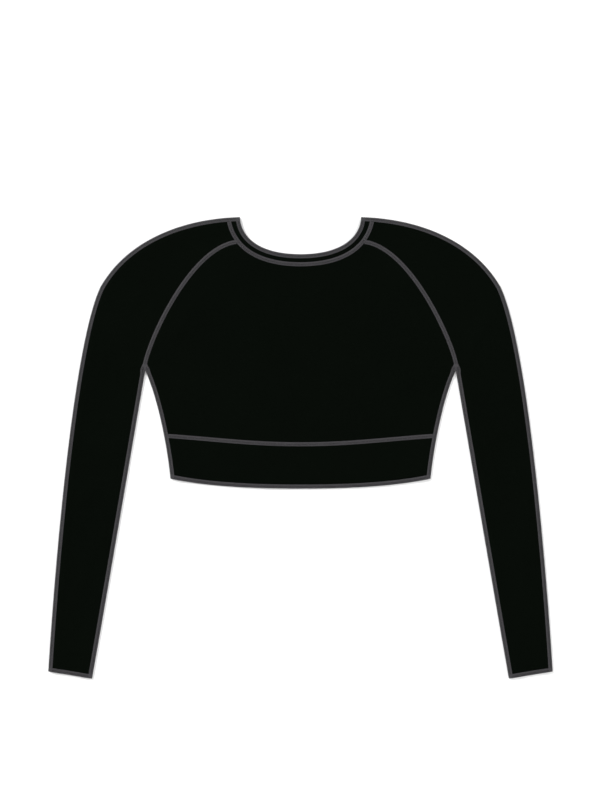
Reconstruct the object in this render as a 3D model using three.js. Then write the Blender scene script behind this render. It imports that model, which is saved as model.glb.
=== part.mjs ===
// A cropped top with long raglan sleeves, laid flat on its back with the front up.
// Millimetres: +X to the viewer's right, +Y towards the neck, +Z up.
// The origin is the middle of the outline, on the surface that the top lies on.

import * as THREE from 'three';

// Cloth, seams and folds
const CLOTH_THICKNESS = 1.1;
const SEAM_GAP = 0.3; // between the cut edges of two pieces that are sewn together
const FOLD_RADIUS = 1.6; // outside radius where a front piece turns down to its back piece
const FOLD_CENTRE_HEIGHT = FOLD_RADIUS; // a back piece and a front piece meet at this height
const FOLD_ANGLES = [45, 90]; // degrees round the fold, after the cut edge itself
const BEAD_COLUMN = 8; // distance in from a fold of the column that carries the soft bead

// Height of the front cloth's top surface over the surface that the top lies on
const REST_HEIGHT = 2.9;
const LOWEST_HEIGHT = 2.55;
const HIGHEST_HEIGHT = 6.0;
const BEAD_HEIGHT = 1.3; // how far the cloth swells just inside a fold
const BEAD_REACH = 8;
const SETTLE_REACH = 26; // distance in from a fold where the cloth has come to rest
const WAVE_HEIGHT = 0.35; // low, wide unevenness of cloth that was smoothed by hand
const WAVE_LENGTH_X = 151;
const WAVE_LENGTH_Y = 117;

// Driving points of the outline, for the half at +X: distance from the middle, and place in Y
const NECK_TIP = [85, 323];
const NECK_BOTTOM = [0, 271];
const BAND_TIP = [101, 322.2];
const BAND_BOTTOM = [0, 257];
const RAGLAN_TOP_X = 87;
const UNDERARM = [217.5, 108.6];
const SHOULDER = [280, 225];
const CUFF_OUTER = [353, -313];
const CUFF_INNER = [292, -323];
const WAIST_MIDDLE = [0, 5];
const WAIST_SIDE_Y = 17;
const HEM_CORNER = [182, -43];
const HEM_MIDDLE = [0, -57];

// Share of the over-arm edge's length, from the neckband, that lies level with the underarm
const UNDERARM_SHARE = 0.36;

// Creases in the front cloth, each a soft ridge that fades out at both ends
const CREASES = [
  // columns: x, y, direction in degrees from +X, half length, half width, rise
  { x: 176, y: 161, direction: 131, halfLength: 64, halfWidth: 15, rise: 1.9 },
  { x: 157, y: 96, direction: 15, halfLength: 62, halfWidth: 15, rise: 2.4 },
  { x: 172, y: 52, direction: 34, halfLength: 44, halfWidth: 14, rise: 1.5 },
  { x: -171, y: 168, direction: 51, halfLength: 58, halfWidth: 14, rise: 2.1 },
  { x: -150, y: 86, direction: 160, halfLength: 70, halfWidth: 16, rise: 2.1 },
  { x: 251, y: 164, direction: 58, halfLength: 50, halfWidth: 14, rise: 2.2 },
  { x: -256, y: 158, direction: 126, halfLength: 46, halfWidth: 13, rise: 2.5 },
  { x: 281, y: 22, direction: 31, halfLength: 36, halfWidth: 12, rise: 2.1 },
  { x: 291, y: -34, direction: -26, halfLength: 40, halfWidth: 13, rise: 2.5 },
  { x: -282, y: 4, direction: 152, halfLength: 38, halfWidth: 12, rise: 2.4 },
  { x: -294, y: -62, direction: 27, halfLength: 34, halfWidth: 13, rise: 1.9 },
  { x: 309, y: -165, direction: 101, halfLength: 66, halfWidth: 12, rise: 1.5 },
  { x: -306, y: -188, direction: 80, halfLength: 74, halfWidth: 12, rise: 1.6 },
  { x: -62, y: 132, direction: 76, halfLength: 96, halfWidth: 20, rise: 1.4 },
  { x: 48, y: 62, direction: 97, halfLength: 72, halfWidth: 22, rise: 1.5 },
  { x: 92, y: 190, direction: 118, halfLength: 58, halfWidth: 17, rise: 1.5 },
];

// How finely each kind of piece is divided
const BODY_FRONT = { raglanRows: 15, sideRows: 10, innerColumns: 34 };
const BODY_BACK = { raglanRows: 9, sideRows: 5, innerColumns: 12 };
const SLEEVE_FRONT = { raglanRows: 15, underarmRows: 30, innerColumns: 8 };
const SLEEVE_BACK = { raglanRows: 9, underarmRows: 14, innerColumns: 3 };
const NECKBAND_ROWS = 2;
const HEM_BAND_ROWS = 3;
const EDGE_SAMPLES = 80; // points used to measure along one curve

const clothMaterial = new THREE.MeshStandardMaterial({
  name: 'cloth',
  color: new THREE.Color().setRGB(9 / 255, 13 / 255, 9 / 255, THREE.SRGBColorSpace),
  roughness: 0.92,
  metalness: 0,
});

// Outline curves of the half at +X

function bezier(...points) {
  return new THREE.CubicBezierCurve(...points.map(([x, y]) => new THREE.Vector2(x, y)));
}

const neckEdgeCurve = bezier(NECK_TIP, [84, 295], [58, 271], NECK_BOTTOM);
const neckSeamCurve = bezier(BAND_TIP, [94, 273], [48, 257], BAND_BOTTOM);
const overArmUpperCurve = bezier(NECK_TIP, [163, 321], [242, 292], SHOULDER);
const overArmLowerCurve = bezier(SHOULDER, [321, 139], [347, -212], CUFF_OUTER);
const underArmCurve = bezier(UNDERARM, [223.7, 73.4], [267.5, -184.4], CUFF_INNER);
const sideCurve = bezier(UNDERARM, [198.3, 68], [185.2, -6.9], HEM_CORNER);
const hemCurve = bezier(HEM_CORNER, [127, -55], [56, -57], HEM_MIDDLE);

// Where a curve first crosses a line of constant x or y
function crossing(curve, axis, value) {
  let low = 0;
  let high = 1;
  const rising = curve.getPoint(1)[axis] > curve.getPoint(0)[axis];
  for (let step = 0; step < 40; step += 1) {
    const middle = (low + high) / 2;
    const past = curve.getPoint(middle)[axis] > value;
    if (past === rising) high = middle;
    else low = middle;
  }
  return (low + high) / 2;
}

// Points along the stretch of a curve between two of its parameters
function stretch(curve, from = 0, to = 1) {
  const points = [];
  for (let i = 0; i <= EDGE_SAMPLES; i += 1) {
    points.push(curve.getPoint(from + ((to - from) * i) / EDGE_SAMPLES));
  }
  return points;
}

function lengthsAlong(points) {
  const lengths = [0];
  for (let i = 1; i < points.length; i += 1) {
    lengths.push(lengths[i - 1] + points[i].distanceTo(points[i - 1]));
  }
  return lengths;
}

function pointAtLength(points, lengths, wanted) {
  let i = 1;
  while (i < points.length - 1 && lengths[i] < wanted) i += 1;
  const share = (wanted - lengths[i - 1]) / (lengths[i] - lengths[i - 1]);
  return points[i - 1].clone().lerp(points[i], share);
}

// Points at the given shares of a line's length
function atShares(points, shares) {
  const lengths = lengthsAlong(points);
  const total = lengths[lengths.length - 1];
  return shares.map((share) => pointAtLength(points, lengths, share * total));
}

function evenShares(count) {
  return Array.from({ length: count + 1 }, (_, i) => i / count);
}

// Shares that start close together, for the wedge that opens below the underarm
function openingShares(count) {
  return evenShares(count).map((share) => share ** 1.3);
}

// A line moved sideways by half the seam gap, to the left of its own direction
function movedLeft(points, distance) {
  return points.map((point, i) => {
    const before = points[Math.max(i - 1, 0)];
    const after = points[Math.min(i + 1, points.length - 1)];
    const along = after.clone().sub(before).normalize();
    return new THREE.Vector2(point.x - along.y * distance, point.y + along.x * distance);
  });
}

function mirrored(points) {
  return points.map((point) => new THREE.Vector2(-point.x, point.y));
}

// A line across the whole top, from its half at +X: from left to right
function acrossBothHalves(halfFromOutside) {
  const left = mirrored(halfFromOutside);
  const right = [...halfFromOutside].reverse();
  return [...left, ...right.slice(1)];
}

// The seams where they are shared by two pieces

const neckSeamSplit = crossing(neckSeamCurve, 'x', RAGLAN_TOP_X);
const raglanTop = neckSeamCurve.getPoint(neckSeamSplit);
const raglanCurve = bezier([raglanTop.x, raglanTop.y], [160.5, 282.8], [226, 118], UNDERARM);
const waistSplit = crossing(sideCurve, 'y', WAIST_SIDE_Y);
const waistSide = sideCurve.getPoint(waistSplit);
const waistCurve = bezier([waistSide.x, waistSide.y], [118, 12], [70, 5], WAIST_MIDDLE);
const bandTipSplit = crossing(overArmUpperCurve, 'x', BAND_TIP[0]);

const sideFold = stretch(sideCurve, 0, waistSplit);
const hemBandFold = stretch(sideCurve, waistSplit, 1);
const neckbandFold = stretch(overArmUpperCurve, 0, bandTipSplit);
const overArmFold = [
  ...stretch(overArmUpperCurve, bandTipSplit, 1),
  ...stretch(overArmLowerCurve).slice(1),
];
const foldLines = [
  [...neckbandFold, ...overArmFold.slice(1)],
  stretch(underArmCurve),
  stretch(sideCurve),
];

// Height of the front cloth

function distanceToSegment(x, y, start, end) {
  const dx = end.x - start.x;
  const dy = end.y - start.y;
  const share = ((x - start.x) * dx + (y - start.y) * dy) / (dx * dx + dy * dy);
  const held = Math.min(Math.max(share, 0), 1);
  return Math.hypot(x - start.x - held * dx, y - start.y - held * dy);
}

function distanceToFolds(x, y) {
  let nearest = Infinity;
  for (const line of foldLines) {
    for (let i = 1; i < line.length; i += 1) {
      nearest = Math.min(nearest, distanceToSegment(Math.abs(x), y, line[i - 1], line[i]));
    }
  }
  return nearest;
}

function smoothStep(value, start, end) {
  const share = Math.min(Math.max((value - start) / (end - start), 0), 1);
  return share * share * (3 - 2 * share);
}

function creaseRise(x, y) {
  let rise = 0;
  for (const crease of CREASES) {
    const angle = THREE.MathUtils.degToRad(crease.direction);
    const dx = x - crease.x;
    const dy = y - crease.y;
    const along = (dx * Math.cos(angle) + dy * Math.sin(angle)) / crease.halfLength;
    const across = (dy * Math.cos(angle) - dx * Math.sin(angle)) / crease.halfWidth;
    if (Math.abs(along) < 1) {
      rise += crease.rise * (1 - along * along) ** 2 * Math.exp(-across * across);
    }
  }
  return rise;
}

function frontHeight(x, y) {
  const inset = Math.max(distanceToFolds(x, y) - FOLD_RADIUS, 0);
  const settled = smoothStep(inset, 0, SETTLE_REACH);
  const beadShare = inset / BEAD_REACH;
  const bead = BEAD_HEIGHT * beadShare * Math.exp(1 - beadShare);
  const flat = 2 * FOLD_RADIUS + (REST_HEIGHT - 2 * FOLD_RADIUS) * settled;
  const wave = WAVE_HEIGHT * Math.sin(x / WAVE_LENGTH_X * 2 * Math.PI)
    * Math.cos(y / WAVE_LENGTH_Y * 2 * Math.PI);
  const height = flat + bead + settled * (wave + creaseRise(x, y));
  return Math.min(Math.max(height, LOWEST_HEIGHT), HIGHEST_HEIGHT);
}

// Walls of cloth

const FRONT = { side: 1, top: 'outer', bottom: 'inner' };
const BACK = { side: -1, top: 'inner', bottom: 'outer' };

function flatHeight(layer, surface, x, y) {
  if (layer === FRONT) {
    return surface === 'outer' ? frontHeight(x, y) : frontHeight(x, y) - CLOTH_THICKNESS;
  }
  return surface === 'outer' ? 0 : CLOTH_THICKNESS;
}

// The columns near one side of a piece: how far in each lies, and how high a fold holds it.
// fold runs from 0, where that side is an ordinary seam, to 1, where it turns round a fold.
function sideColumns(layer, surface, fold) {
  const radius = surface === 'outer' ? FOLD_RADIUS : FOLD_RADIUS - CLOTH_THICKNESS;
  const seamInset = (SEAM_GAP / 2) * (1 - fold);
  const cutAngle = Math.asin(SEAM_GAP / 2 / radius);
  const angles = [cutAngle, ...FOLD_ANGLES.map((degrees) => THREE.MathUtils.degToRad(degrees))];
  const columns = angles.map((angle, i) => {
    const flatInset = i === 0 ? 0 : FOLD_RADIUS * (1 - Math.cos(angle));
    const foldInset = FOLD_RADIUS - radius * Math.cos(angle);
    return {
      inset: seamInset + flatInset + (foldInset - flatInset) * fold,
      foldHeight: FOLD_CENTRE_HEIGHT + layer.side * radius * Math.sin(angle),
      fold,
    };
  });
  return [...columns, { inset: BEAD_COLUMN, foldHeight: 0, fold: 0 }];
}

// Distances in from a row's left end of the columns between the two bead columns
function evenInsets(columns) {
  return (total) => evenShares(columns).slice(1, -1)
    .map((share) => BEAD_COLUMN + (total - 2 * BEAD_COLUMN) * share);
}

// The neckband's columns stand where those of the sleeves and the body meet its seam
function neckbandInsets(body, sleeve) {
  const seamLengths = lengthsAlong(acrossBothHalves(stretch(neckSeamCurve)));
  const seamLength = seamLengths[seamLengths.length - 1];
  const sleeveLengths = lengthsAlong(stretch(neckSeamCurve, 0, neckSeamSplit));
  const sleeveLength = sleeveLengths[sleeveLengths.length - 1];
  const bodyLength = seamLength - 2 * sleeveLength;
  const onSleeve = evenInsets(sleeve.innerColumns)(sleeveLength);
  const upToRaglan = [...onSleeve, sleeveLength - BEAD_COLUMN, sleeveLength];
  const onBody = evenInsets(body.innerColumns)(bodyLength).map((inset) => sleeveLength + inset);
  const beadOnBody = sleeveLength + BEAD_COLUMN;
  const leftHalf = [...upToRaglan, beadOnBody];
  const rightHalf = leftHalf.map((inset) => seamLength - inset).reverse();
  const insets = [...leftHalf, ...onBody, ...rightHalf];
  return (total) => insets.map((inset) => (inset * total) / seamLength);
}

// One surface of a piece: a grid of points, one row for each row line
function surfaceGrid(piece, surface) {
  return piece.rows.map((row) => {
    const lengths = lengthsAlong(row.line);
    const total = lengths[lengths.length - 1];
    const left = sideColumns(piece.layer, surface, row.leftFold);
    const right = sideColumns(piece.layer, surface, row.rightFold);
    const inner = piece.innerInsets(total)
      .map((inset) => ({ inset, foldHeight: 0, fold: 0 }));
    const fromRight = right.map((column) => ({ ...column, inset: total - column.inset }));
    return [...left, ...inner, ...fromRight.reverse()].map((column) => {
      const place = pointAtLength(row.line, lengths, column.inset);
      const x = piece.mirror ? -place.x : place.x;
      const flat = flatHeight(piece.layer, surface, x, place.y);
      return new THREE.Vector3(x, place.y, flat + (column.foldHeight - flat) * column.fold);
    });
  });
}

// Joins a top grid and a bottom grid into one closed wall
function wallGeometry(top, bottom, mirror) {
  const rows = top.length;
  const columns = top[0].length;
  const points = [...top.flat(), ...bottom.flat()];
  const topAt = (row, column) => row * columns + column;
  const bottomAt = (row, column) => rows * columns + topAt(row, column);
  const indices = [];
  const addFace = (a, b, c, d) => {
    if (mirror) indices.push(a, c, b, a, d, c);
    else indices.push(a, b, c, a, c, d);
  };
  for (let r = 0; r < rows - 1; r += 1) {
    for (let c = 0; c < columns - 1; c += 1) {
      addFace(topAt(r, c), topAt(r + 1, c), topAt(r + 1, c + 1), topAt(r, c + 1));
      addFace(bottomAt(r, c), bottomAt(r, c + 1), bottomAt(r + 1, c + 1), bottomAt(r + 1, c));
    }
  }
  for (let r = 0; r < rows - 1; r += 1) {
    const last = columns - 1;
    addFace(topAt(r, 0), bottomAt(r, 0), bottomAt(r + 1, 0), topAt(r + 1, 0));
    addFace(topAt(r, last), topAt(r + 1, last), bottomAt(r + 1, last), bottomAt(r, last));
  }
  for (let c = 0; c < columns - 1; c += 1) {
    const last = rows - 1;
    addFace(topAt(0, c), topAt(0, c + 1), bottomAt(0, c + 1), bottomAt(0, c));
    addFace(topAt(last, c), bottomAt(last, c), bottomAt(last, c + 1), topAt(last, c + 1));
  }
  const geometry = new THREE.BufferGeometry();
  geometry.setFromPoints(points);
  geometry.setIndex(indices);
  geometry.computeVertexNormals();
  return geometry;
}

// Row lines of a four-sided piece, blended between its four edges.
// left and right hold one point for each row; top and bottom are sampled alike.
function blendedRows(top, bottom, left, right) {
  const lastRow = left.length - 1;
  const lastColumn = top.length - 1;
  return left.map((leftPoint, row) => {
    const v = row / lastRow;
    if (row === 0) return top;
    if (row === lastRow) return bottom;
    return top.map((topPoint, column) => {
      const u = column / lastColumn;
      const blend = (axis) => (1 - v) * topPoint[axis] + v * bottom[column][axis]
        + (1 - u) * leftPoint[axis] + u * right[row][axis]
        - (1 - u) * ((1 - v) * top[0][axis] + v * bottom[0][axis])
        - u * ((1 - v) * top[lastColumn][axis] + v * bottom[lastColumn][axis]);
      return new THREE.Vector2(blend('x'), blend('y'));
    });
  });
}

function foldShare(rowsBelowUnderarm) {
  return smoothStep(rowsBelowUnderarm, 0, 2);
}

function clothMesh(name, piece) {
  const top = surfaceGrid(piece, piece.layer.top);
  const bottom = surfaceGrid(piece, piece.layer.bottom);
  const mesh = new THREE.Mesh(wallGeometry(top, bottom, piece.mirror), clothMaterial);
  mesh.name = name;
  return mesh;
}

// Front or back of the body, from the neck seam to the waist seam
function bodyMesh(name, layer, division) {
  const shares = evenShares(EDGE_SAMPLES);
  const neckHalf = stretch(neckSeamCurve, neckSeamSplit, 1);
  const neckLine = movedLeft(atShares(acrossBothHalves(neckHalf), shares), -SEAM_GAP / 2);
  const waistLine = movedLeft(
    atShares(acrossBothHalves(stretch(waistCurve)), shares),
    SEAM_GAP / 2,
  );
  const right = [
    ...atShares(stretch(raglanCurve), evenShares(division.raglanRows)),
    ...atShares(sideFold, openingShares(division.sideRows)).slice(1),
  ];
  const lines = blendedRows(neckLine, waistLine, mirrored(right), right);
  const rows = lines.map((line, i) => {
    const fold = foldShare(i - division.raglanRows);
    return { line, leftFold: fold, rightFold: fold };
  });
  const innerInsets = evenInsets(division.innerColumns);
  return clothMesh(name, { layer, rows, innerInsets, mirror: false });
}

// Front or back half of a sleeve, from the neck seam to the cuff edge
function sleeveMesh(name, layer, division, mirror) {
  const shares = evenShares(EDGE_SAMPLES);
  const neckLine = movedLeft(
    atShares(stretch(neckSeamCurve, neckSeamSplit, 0), shares),
    -SEAM_GAP / 2,
  );
  const cuffLine = shares.map((share) => new THREE.Vector2(...CUFF_INNER)
    .lerp(new THREE.Vector2(...CUFF_OUTER), share));
  const inner = [
    ...atShares(stretch(raglanCurve), evenShares(division.raglanRows)),
    ...atShares(stretch(underArmCurve), openingShares(division.underarmRows)).slice(1),
  ];
  const outerShares = [
    ...evenShares(division.raglanRows).map((share) => share * UNDERARM_SHARE),
    ...openingShares(division.underarmRows)
      .map((share) => UNDERARM_SHARE + share * (1 - UNDERARM_SHARE)).slice(1),
  ];
  const outer = atShares(overArmFold, outerShares);
  const lines = blendedRows(neckLine, cuffLine, inner, outer);
  const rows = lines.map((line, i) => (
    { line, leftFold: foldShare(i - division.raglanRows), rightFold: 1 }
  ));
  return clothMesh(name, { layer, rows, innerInsets: evenInsets(division.innerColumns), mirror });
}

// A band whose two ends turn round folds: the neckband and the waistband
function bandMesh(name, layer, rowCount, innerInsets, upperLine, lowerLine, foldLine) {
  const ends = atShares(foldLine, evenShares(rowCount));
  const lines = blendedRows(upperLine, lowerLine, mirrored(ends), ends);
  const rows = lines.map((line) => ({ line, leftFold: 1, rightFold: 1 }));
  return clothMesh(name, { layer, rows, innerInsets, mirror: false });
}

function neckbandMesh(name, layer, body, sleeve) {
  const shares = evenShares(EDGE_SAMPLES * 2);
  const edge = atShares(acrossBothHalves(stretch(neckEdgeCurve)), shares);
  const seam = atShares(acrossBothHalves(stretch(neckSeamCurve)), shares);
  const lower = movedLeft(seam, SEAM_GAP / 2);
  const insets = neckbandInsets(body, sleeve);
  return bandMesh(name, layer, NECKBAND_ROWS, insets, edge, lower, neckbandFold);
}

function hemBandMesh(name, layer, body) {
  const shares = evenShares(EDGE_SAMPLES);
  const seam = atShares(acrossBothHalves(stretch(waistCurve)), shares);
  const edge = atShares(acrossBothHalves(stretch(hemCurve)), shares);
  const upper = movedLeft(seam, -SEAM_GAP / 2);
  const insets = evenInsets(body.innerColumns);
  return bandMesh(name, layer, HEM_BAND_ROWS, insets, upper, edge, hemBandFold);
}

const cropTop = new THREE.Group();
cropTop.name = 'crop_top';
cropTop.add(bodyMesh('front_body', FRONT, BODY_FRONT));
cropTop.add(bodyMesh('back_body', BACK, BODY_BACK));
for (const [hand, mirror] of [['right', false], ['left', true]]) {
  cropTop.add(sleeveMesh(`front_sleeve_${hand}`, FRONT, SLEEVE_FRONT, mirror));
  cropTop.add(sleeveMesh(`back_sleeve_${hand}`, BACK, SLEEVE_BACK, mirror));
}
cropTop.add(neckbandMesh('neckband_front', FRONT, BODY_FRONT, SLEEVE_FRONT));
cropTop.add(neckbandMesh('neckband_back', BACK, BODY_BACK, SLEEVE_BACK));
cropTop.add(hemBandMesh('hem_band_front', FRONT, BODY_FRONT));
cropTop.add(hemBandMesh('hem_band_back', BACK, BODY_BACK));

export default cropTop;
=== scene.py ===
"""A cropped top with long raglan sleeves, laid flat on its back with the front up.

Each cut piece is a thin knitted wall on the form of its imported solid, and every seam
and edge carries a band of flat-seam stitching in grey thread. Lengths are in metres:
+X to the viewer's right, +Y towards the neck, +Z up.
"""

import logging
import math
from dataclasses import dataclass, field
from enum import Enum

import bpy
import numpy as np
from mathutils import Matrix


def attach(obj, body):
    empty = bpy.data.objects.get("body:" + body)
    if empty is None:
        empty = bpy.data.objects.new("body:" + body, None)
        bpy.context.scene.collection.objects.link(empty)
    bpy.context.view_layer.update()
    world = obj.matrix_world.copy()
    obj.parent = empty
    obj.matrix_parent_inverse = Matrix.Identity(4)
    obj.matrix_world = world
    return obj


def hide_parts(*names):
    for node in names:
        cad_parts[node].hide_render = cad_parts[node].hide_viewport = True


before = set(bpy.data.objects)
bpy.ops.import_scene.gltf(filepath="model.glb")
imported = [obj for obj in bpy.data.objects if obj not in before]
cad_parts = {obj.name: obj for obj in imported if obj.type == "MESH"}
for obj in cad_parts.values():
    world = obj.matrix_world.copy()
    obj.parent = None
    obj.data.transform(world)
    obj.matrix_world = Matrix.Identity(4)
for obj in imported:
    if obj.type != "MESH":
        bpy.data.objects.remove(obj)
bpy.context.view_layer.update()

log = logging.getLogger("crop_top")

Array = np.ndarray
Point = tuple[float, float]
Handles = tuple[Point, Point]
Colour = tuple[float, float, float]
Tube = tuple[Array, Array, Array]
Material = bpy.types.Material
Socket = bpy.types.NodeSocket

MM = 0.001
BODY = "root"
GRAIN_MAP = "grain"


class Side(Enum):
    """A side of the top that pieces are named by."""

    @property
    def word(self) -> str:
        """The side's name in the names of pieces."""
        return self.name.lower()


class Layer(Side):
    """Which of the two layers of cloth a piece belongs to. The value is its side in Z."""

    FRONT = 1
    BACK = -1


class Hand(Side):
    """Which sleeve a piece belongs to, as the viewer sees it. The value is its side in X."""

    RIGHT = 1
    LEFT = -1


class SeamKind(Enum):
    """How a band of stitching sits on the cloth."""

    SEAM = "centred over two butted edges"
    EDGE = "wrapped round an open edge"
    FOLD = "beside a fold where front and back meet"


# Lines in the plane of the top


def bezier_line(points: tuple[Point, ...], count: int = 160) -> Array:
    """Points along one cubic curve.

    Args:
        points: The four control points.
        count: How many steps the curve is divided into.

    Returns:
        An array with one row of x and y for each point.
    """
    corners = np.array(points, float)
    t = np.linspace(0.0, 1.0, count + 1)[:, None]
    s = 1.0 - t
    near = s**3 * corners[0] + 3.0 * s**2 * t * corners[1]
    far = 3.0 * s * t**2 * corners[2] + t**3 * corners[3]
    return near + far


def split_line(line: Array, axis: int, value: float) -> tuple[Array, Array]:
    """Cuts a line in two where it first crosses a value of x (axis 0) or y (axis 1)."""
    above = line[:, axis] > value
    index = int(np.argmax(above != above[0]))
    before, after = line[index - 1], line[index]
    share = (value - before[axis]) / (after[axis] - before[axis])
    point = before + share * (after - before)
    return np.vstack([line[:index], point]), np.vstack([point, line[index:]])


def lengths_along(line: Array) -> Array:
    """Distance from a line's start to each of its points."""
    steps = np.linalg.norm(np.diff(line, axis=0), axis=1)
    return np.concatenate([[0.0], np.cumsum(steps)])


def points_at(line: Array, distances: Array) -> Array:
    """Points of a line at the given distances from its start."""
    lengths = lengths_along(line)
    columns = [np.interp(distances, lengths, line[:, axis]) for axis in range(line.shape[1])]
    return np.stack(columns, axis=1)


def points_at_shares(line: Array, shares: Array) -> Array:
    """Points of a line at the given shares of its length."""
    return points_at(line, shares * lengths_along(line)[-1])


def join_lines(*lines: Array) -> Array:
    """Joins lines end to end, each starting where the one before stops."""
    return np.vstack([lines[0], *[line[1:] for line in lines[1:]]])


def mirrored(line: Array) -> Array:
    """The same line on the other side of the middle."""
    return line * np.array([-1.0, 1.0])


def on_right(points: Array) -> Array:
    """The same points, with those left of the middle turned over to the right."""
    return np.column_stack([np.abs(points[:, 0]), points[:, 1]])


def across(half: Array) -> Array:
    """A line right across the top, from its half at +X that runs from outside to the middle."""
    return join_lines(mirrored(half), half[::-1])


def smooth_step(values: Array) -> Array:
    """Rises smoothly from 0 to 1 as a value goes from 0 to 1."""
    held = np.clip(values, 0.0, 1.0)
    return held * held * (3.0 - 2.0 * held)


def nearest_on_line(points: Array, line: Array, chunk: int = 8192) -> tuple[Array, Array]:
    """Finds how far each point is from a line, and where along the line that is.

    Args:
        points: The points, one row each.
        line: The line's points.
        chunk: How many points are worked on at once.

    Returns:
        The distance from the line, and the distance along it, for each point.
    """
    starts, steps = line[:-1], np.diff(line, axis=0)
    squares = (steps**2).sum(axis=1)
    spans, before = np.sqrt(squares), lengths_along(line)[:-1]
    distance, along = np.empty(len(points)), np.empty(len(points))
    for first in range(0, len(points), chunk):
        part = slice(first, first + chunk)
        offset_x = points[part, 0, None] - starts[None, :, 0]
        offset_y = points[part, 1, None] - starts[None, :, 1]
        share = np.clip((offset_x * steps[:, 0] + offset_y * steps[:, 1]) / squares, 0.0, 1.0)
        gap = (offset_x - share * steps[:, 0]) ** 2 + (offset_y - share * steps[:, 1]) ** 2
        best = gap.argmin(axis=1)
        rows = np.arange(len(best))
        distance[part] = np.sqrt(gap[rows, best])
        along[part] = before[best] + share[rows, best] * spans[best]
    return distance, along


@dataclass(frozen=True)
class Pattern:
    """The outline's half at +X: its driving points, its curves' handles, and the lines they give."""

    neck_tip: Point = (0.085, 0.323)
    neck_bottom: Point = (0.0, 0.271)
    band_tip: Point = (0.101, 0.3222)
    band_bottom: Point = (0.0, 0.257)
    raglan_top_x: float = 0.087
    underarm: Point = (0.2175, 0.1086)
    shoulder: Point = (0.280, 0.225)
    cuff_outer: Point = (0.353, -0.313)
    cuff_inner: Point = (0.292, -0.323)
    waist_middle: Point = (0.0, 0.005)
    waist_side_y: float = 0.017
    hem_corner: Point = (0.182, -0.043)
    hem_middle: Point = (0.0, -0.057)
    elbow_outer: Point = (0.306, 0.125)
    underarm_share: float = 0.36
    neck_edge_handles: Handles = ((0.084, 0.295), (0.058, 0.271))
    neck_seam_handles: Handles = ((0.094, 0.273), (0.048, 0.257))
    raglan_handles: Handles = ((0.1605, 0.2828), (0.226, 0.118))
    side_handles: Handles = ((0.1983, 0.068), (0.1852, -0.0069))
    waist_handles: Handles = ((0.118, 0.012), (0.070, 0.005))
    hem_handles: Handles = ((0.127, -0.055), (0.056, -0.057))
    shoulder_handles: Handles = ((0.163, 0.321), (0.242, 0.292))
    arm_handles: Handles = ((0.321, 0.139), (0.347, -0.212))
    under_arm_handles: Handles = ((0.2237, 0.0734), (0.2675, -0.1844))
    cuff_points: int = 61

    def neck_edge(self) -> Array:
        """The open edge of the neck, from its tip to the middle."""
        return bezier_line((self.neck_tip, *self.neck_edge_handles, self.neck_bottom))

    def neck_seam(self) -> Array:
        """The neckband's seam, from its tip to the middle."""
        return bezier_line((self.band_tip, *self.neck_seam_handles, self.band_bottom))

    def neck_seam_parts(self) -> tuple[Array, Array]:
        """The neckband's seam along the sleeve, and then along the body."""
        return split_line(self.neck_seam(), 0, self.raglan_top_x)

    def raglan(self) -> Array:
        """The seam between body and sleeve, from the neckband to the underarm."""
        top = tuple(self.neck_seam_parts()[1][0])
        return bezier_line((top, *self.raglan_handles, self.underarm))

    def side(self) -> Array:
        """The side fold, from the underarm to the hem."""
        return bezier_line((self.underarm, *self.side_handles, self.hem_corner))

    def side_parts(self) -> tuple[Array, Array]:
        """The side fold along the body, and then along the waistband."""
        return split_line(self.side(), 1, self.waist_side_y)

    def waist(self) -> Array:
        """The waistband's seam, from the side to the middle."""
        start = tuple(self.side_parts()[1][0])
        return bezier_line((start, *self.waist_handles, self.waist_middle))

    def hem(self) -> Array:
        """The open edge of the waistband, from the side to the middle."""
        return bezier_line((self.hem_corner, *self.hem_handles, self.hem_middle))

    def over_arm(self) -> Array:
        """The fold over shoulder and arm, from the neck edge to the cuff."""
        upper = bezier_line((self.neck_tip, *self.shoulder_handles, self.shoulder))
        lower = bezier_line((self.shoulder, *self.arm_handles, self.cuff_outer))
        return join_lines(upper, lower)

    def over_arm_parts(self) -> tuple[Array, Array]:
        """The over-arm fold along the neckband, and then along the sleeve."""
        return split_line(self.over_arm(), 0, self.band_tip[0])

    def under_arm(self) -> Array:
        """The fold under the arm, from the underarm to the cuff."""
        return bezier_line((self.underarm, *self.under_arm_handles, self.cuff_inner))

    def cuff(self) -> Array:
        """The open edge of the sleeve, from its inner corner to its outer one."""
        return np.linspace(self.cuff_inner, self.cuff_outer, self.cuff_points)

    def sleeve_grain(self) -> float:
        """How far the sleeve leans out from straight down, as an angle."""
        wrist = (np.array(self.cuff_inner) + np.array(self.cuff_outer)) / 2.0
        elbow = (np.array(self.underarm) + np.array(self.elbow_outer)) / 2.0
        lean = wrist - elbow
        return math.atan2(lean[0], -lean[1])


# Form of the laid cloth


@dataclass(frozen=True)
class Crease:
    """A soft ridge, or a trough where rise is below 0, that fades out at both ends.

    Attributes:
        x: Place of its middle in X.
        y: Place of its middle in Y.
        direction: Direction of its length, in degrees from +X.
        half_length: Half its length.
        half_width: Half its width, where it has fallen to about a third.
        rise: Height of its middle over the cloth around it.
    """

    x: float
    y: float
    direction: float
    half_length: float
    half_width: float
    rise: float

    def height(self, points: Array) -> Array:
        """How much the crease lifts the cloth at each point."""
        angle = math.radians(self.direction)
        dx, dy = points[:, 0] - self.x, points[:, 1] - self.y
        along = (dx * math.cos(angle) + dy * math.sin(angle)) / self.half_length
        off = (dy * math.cos(angle) - dx * math.sin(angle)) / self.half_width
        return self.rise * np.clip(1.0 - along**2, 0.0, 1.0) ** 2 * np.exp(-(off**2))


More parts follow.
